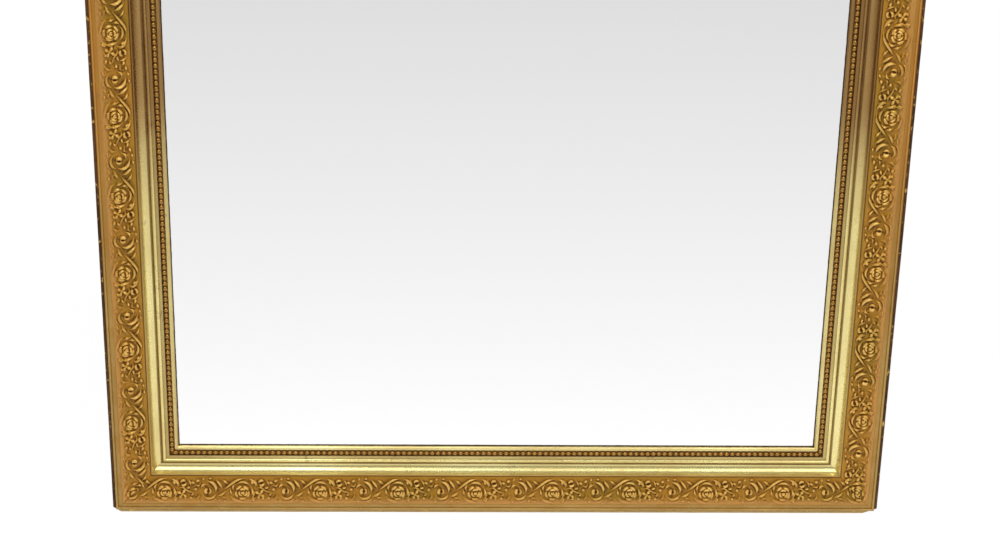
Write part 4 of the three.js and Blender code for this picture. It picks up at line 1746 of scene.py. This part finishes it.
                screw = copied(flat_head, f"board_screw_head_{label}_{i}")
                self.place(screw, Matrix.Translation(seat) @ turn, steel, "body", node)
        for model in (ring, strap, round_head, flat_head):
            bpy.data.objects.remove(model)

    @staticmethod
    def place(piece: Piece, where: Matrix, finish: Finish, body: str, node: str) -> None:
        """Puts one steel piece in place and dresses it.

        Args:
            piece: The piece.
            where: Its place.
            finish: Its finish.
            body: The body that it rides on.
            node: The node that it replaces.
        """
        settle(piece, where, 35)
        dress(piece, finish)
        mount(piece, body, node)


# Setting ----------------------------------------------------------------------------------------------------


@dataclass
class Studio:
    """The camera, the floor, the hidden walls and the lamps."""

    lens: float = 84.08
    camera_at: tuple[float, float, float] = (-0.1188, -3.2512, 0.9408)
    yaw: float = -2.079
    pitch: float = 24.145
    roll: float = 1.174
    floor_level: float = -0.9006
    floor_size: float = 40.0
    floor_glow: float = 1.02
    floor_seen: float = 0.95
    floor_mirrored: float = 0.96
    ambient: float = 0.36
    wall_height: float = 5.0
    wall_away: float = 4.6
    bright_ahead: float = 0.18
    dims_by: float = 0.36
    dims_over: float = 1.6
    bright_to: float = 1.0
    brown_from: float = 1.8
    brown: Colour = (0.24, 0.16, 0.1, 1.0)
    horizon: tuple[Point, ...] = ((0, 0.5), (0.03, 0.4), (0.07, 0.2), (0.38, 0.2), (0.5, 0.45), (1, 0.45))

    def add_camera(self) -> None:
        """Stands the camera where the photograph was taken from."""
        camera = added(bpy.ops.object.camera_add, location=self.camera_at)
        camera.data.lens = self.lens
        camera.data.sensor_width = 36.0
        yaw, pitch, roll = (math.radians(a) for a in (self.yaw, self.pitch, self.roll))
        ahead = math.cos(pitch)
        forward = Vector((-math.sin(yaw) * ahead, math.cos(yaw) * ahead, -math.sin(pitch)))
        right = Vector((math.cos(yaw), math.sin(yaw), 0))
        up = right.cross(forward)
        right, up = (
            math.cos(roll) * right + math.sin(roll) * up,
            math.cos(roll) * up - math.sin(roll) * right,
        )
        turn = Matrix((right, up, -forward)).transposed()
        camera.rotation_euler = turn.to_euler()
        bpy.context.scene.camera = camera

    def add_floor(self) -> None:
        """Lays a pale floor: white to the camera; to the gold and the glass dimmer ahead, brown aside."""
        spot = (0, 0, self.floor_level)
        floor = added(bpy.ops.mesh.primitive_plane_add, size=self.floor_size, location=spot)
        floor.name = "studio_floor"
        apply_place()
        material = bpy.data.materials.new("studio_floor")
        material.use_nodes = True
        bench = ShaderBench(material.node_tree)
        x, y, _ = bench.axes(bench.place())
        away = (y * -1.0 - self.bright_ahead).larger(0.0)
        ahead = 1.0 - self.dims_by * (1.0 - (away / -self.dims_over).maths("EXPONENT"))
        aside = abs(x).fade(self.bright_to, self.brown_from)
        tone = bench.blend(aside, bench.grey(ahead), self.brown)
        path = bench.node("LightPath")
        camera_ray = bench.wire(path, "Is Camera Ray")
        glossy_ray = bench.wire(path, "Is Glossy Ray").larger(bench.wire(path, "Is Transmission Ray"))
        matt = bench.node("BsdfDiffuse", None, {"Color": (0.9, 0.9, 0.9, 1)})
        seen = bench.blend(camera_ray, tone, (1, 1, 1, 1))
        glow = bench.node("Emission", None, {"Color": seen, "Strength": self.floor_glow})
        share = (camera_ray * self.floor_seen + glossy_ray * self.floor_mirrored).clipped()
        surface = bench.mixed(share, matt, glow)
        below = bench.wire(bench.node("NewGeometry"), "Backfacing")
        final = bench.mixed(below, surface, bench.node("BsdfTransparent"))
        bench.node("OutputMaterial", None, {"Surface": bench.wire(final)})
        floor.data.materials.append(material)

    def add_wall(self, name: str, facing: Vector, tint: Colour, levels: Sequence[Point]) -> None:
        """Stands one studio wall that the camera doesn't see but the gold and the glass reflect.

        Args:
            name: The wall's name.
            facing: The way it faces.
            tint: Its colour.
            levels: How bright it looks, from its foot at 0 to its head at 1.
        """
        turn = facing.to_track_quat("Z", "Y").to_euler()
        wall = added(bpy.ops.mesh.primitive_plane_add, size=1, rotation=turn)
        wall.name = name
        wall.scale = (2 * self.wall_away, self.wall_height, 1)
        wall.location = -self.wall_away * facing + Vector((0, 0, self.floor_level + self.wall_height / 2))
        apply_place()
        material = bpy.data.materials.new(name)
        material.use_nodes = True
        bench = ShaderBench(material.node_tree)
        _, _, z = bench.axes(bench.place())
        strength = bench.curve((z - self.floor_level) / self.wall_height, levels)
        path = bench.node("LightPath")
        glossy = bench.wire(path, "Is Glossy Ray")
        matt = bench.node("BsdfDiffuse", None, {"Color": tint})
        glow = bench.node("Emission", None, {"Color": tint, "Strength": strength})
        surface = bench.mixed(glossy, matt, glow)
        bench.node("OutputMaterial", None, {"Surface": bench.wire(surface)})
        wall.data.materials.append(material)
        wall.visible_camera = False
        wall.visible_shadow = False
        wall.visible_diffuse = False

    @staticmethod
    def add_lamp(
        name: str, at: Vector, aim: Vector, size: Point, power: float, mirrored: bool = True
    ) -> None:
        """Hangs one soft rectangular lamp.

        Args:
            name: The lamp's name.
            at: Where it hangs.
            aim: What it points at.
            size: Its width and height.
            power: Its power in watts.
            mirrored: True if the gold and the glass mirror it.
        """
        turn = (aim - at).to_track_quat("-Z", "Y").to_euler()
        lamp = added(bpy.ops.object.light_add, type="AREA", location=at, rotation=turn)
        lamp.name = name
        lamp.data.shape = "RECTANGLE"
        lamp.data.size, lamp.data.size_y = size
        lamp.data.energy = power
        lamp.visible_camera = False
        lamp.visible_glossy = mirrored

    def add_world(self) -> None:
        """Makes the world white behind the object, and softer as light and in reflections."""
        world = bpy.data.worlds.new("studio")
        bpy.context.scene.world = world
        world.use_nodes = True
        bench = ShaderBench(world.node_tree)
        path = bench.node("LightPath")
        seen = bench.wire(path, "Is Camera Ray").larger(bench.wire(path, "Is Transmission Ray"))
        strength = seen * (1.0 - self.ambient) + self.ambient
        sky = bench.node("Background", None, {"Color": (1, 1, 1, 1), "Strength": strength})
        bench.node("OutputWorld", None, {"Surface": bench.wire(sky)})

    def build(self) -> None:
        """Sets up everything round the object."""
        bpy.context.scene.view_settings.view_transform = "Standard"
        self.add_camera()
        self.add_floor()
        self.add_world()
        plain = (1, 0.98, 0.95, 1)
        self.add_wall("wall_front", Vector((0, 1, 0)), plain, self.horizon)
        self.add_wall("wall_back", Vector((0, -1, 0)), plain, ((0, 0.7), (1, 0.8)))
        self.add_wall("wall_left", Vector((1, 0, 0)), self.brown, ((0, 1.0), (1, 1.4)))
        self.add_wall("wall_right", Vector((-1, 0, 0)), self.brown, ((0, 1.0), (1, 1.4)))
        aim = Vector((0, 0, -0.5))
        self.add_lamp("lamp_left", Vector((-0.9, -2.4, 2.0)), aim, (1.1, 2.5), 34)
        self.add_lamp("lamp_right", Vector((1.4, -2.4, 2.0)), aim, (0.9, 2.5), 27)
        self.add_lamp("lamp_top", Vector((0.1, -1.1, 2.7)), aim, (1.0, 0.7), 112, False)
        self.add_lamp("lamp_back", Vector((1.5, 3.2, 2.0)), aim, (2.0, 2.0), 40)


def main() -> None:
    """Builds every sub-assembly in order."""
    logging.basicConfig(level=logging.INFO, format="%(name)s: %(message)s")
    Studio().build()
    for part in (GiltMoulding(), PearlString(), FriezeOrnament(), SideBoards(), WoodenBack(), Hangers()):
        part.build()
        log.info("%s done", type(part).__name__)
    dress(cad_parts["mirror_plate"], SilveredGlass())


if __name__ == "__main__":
    main()
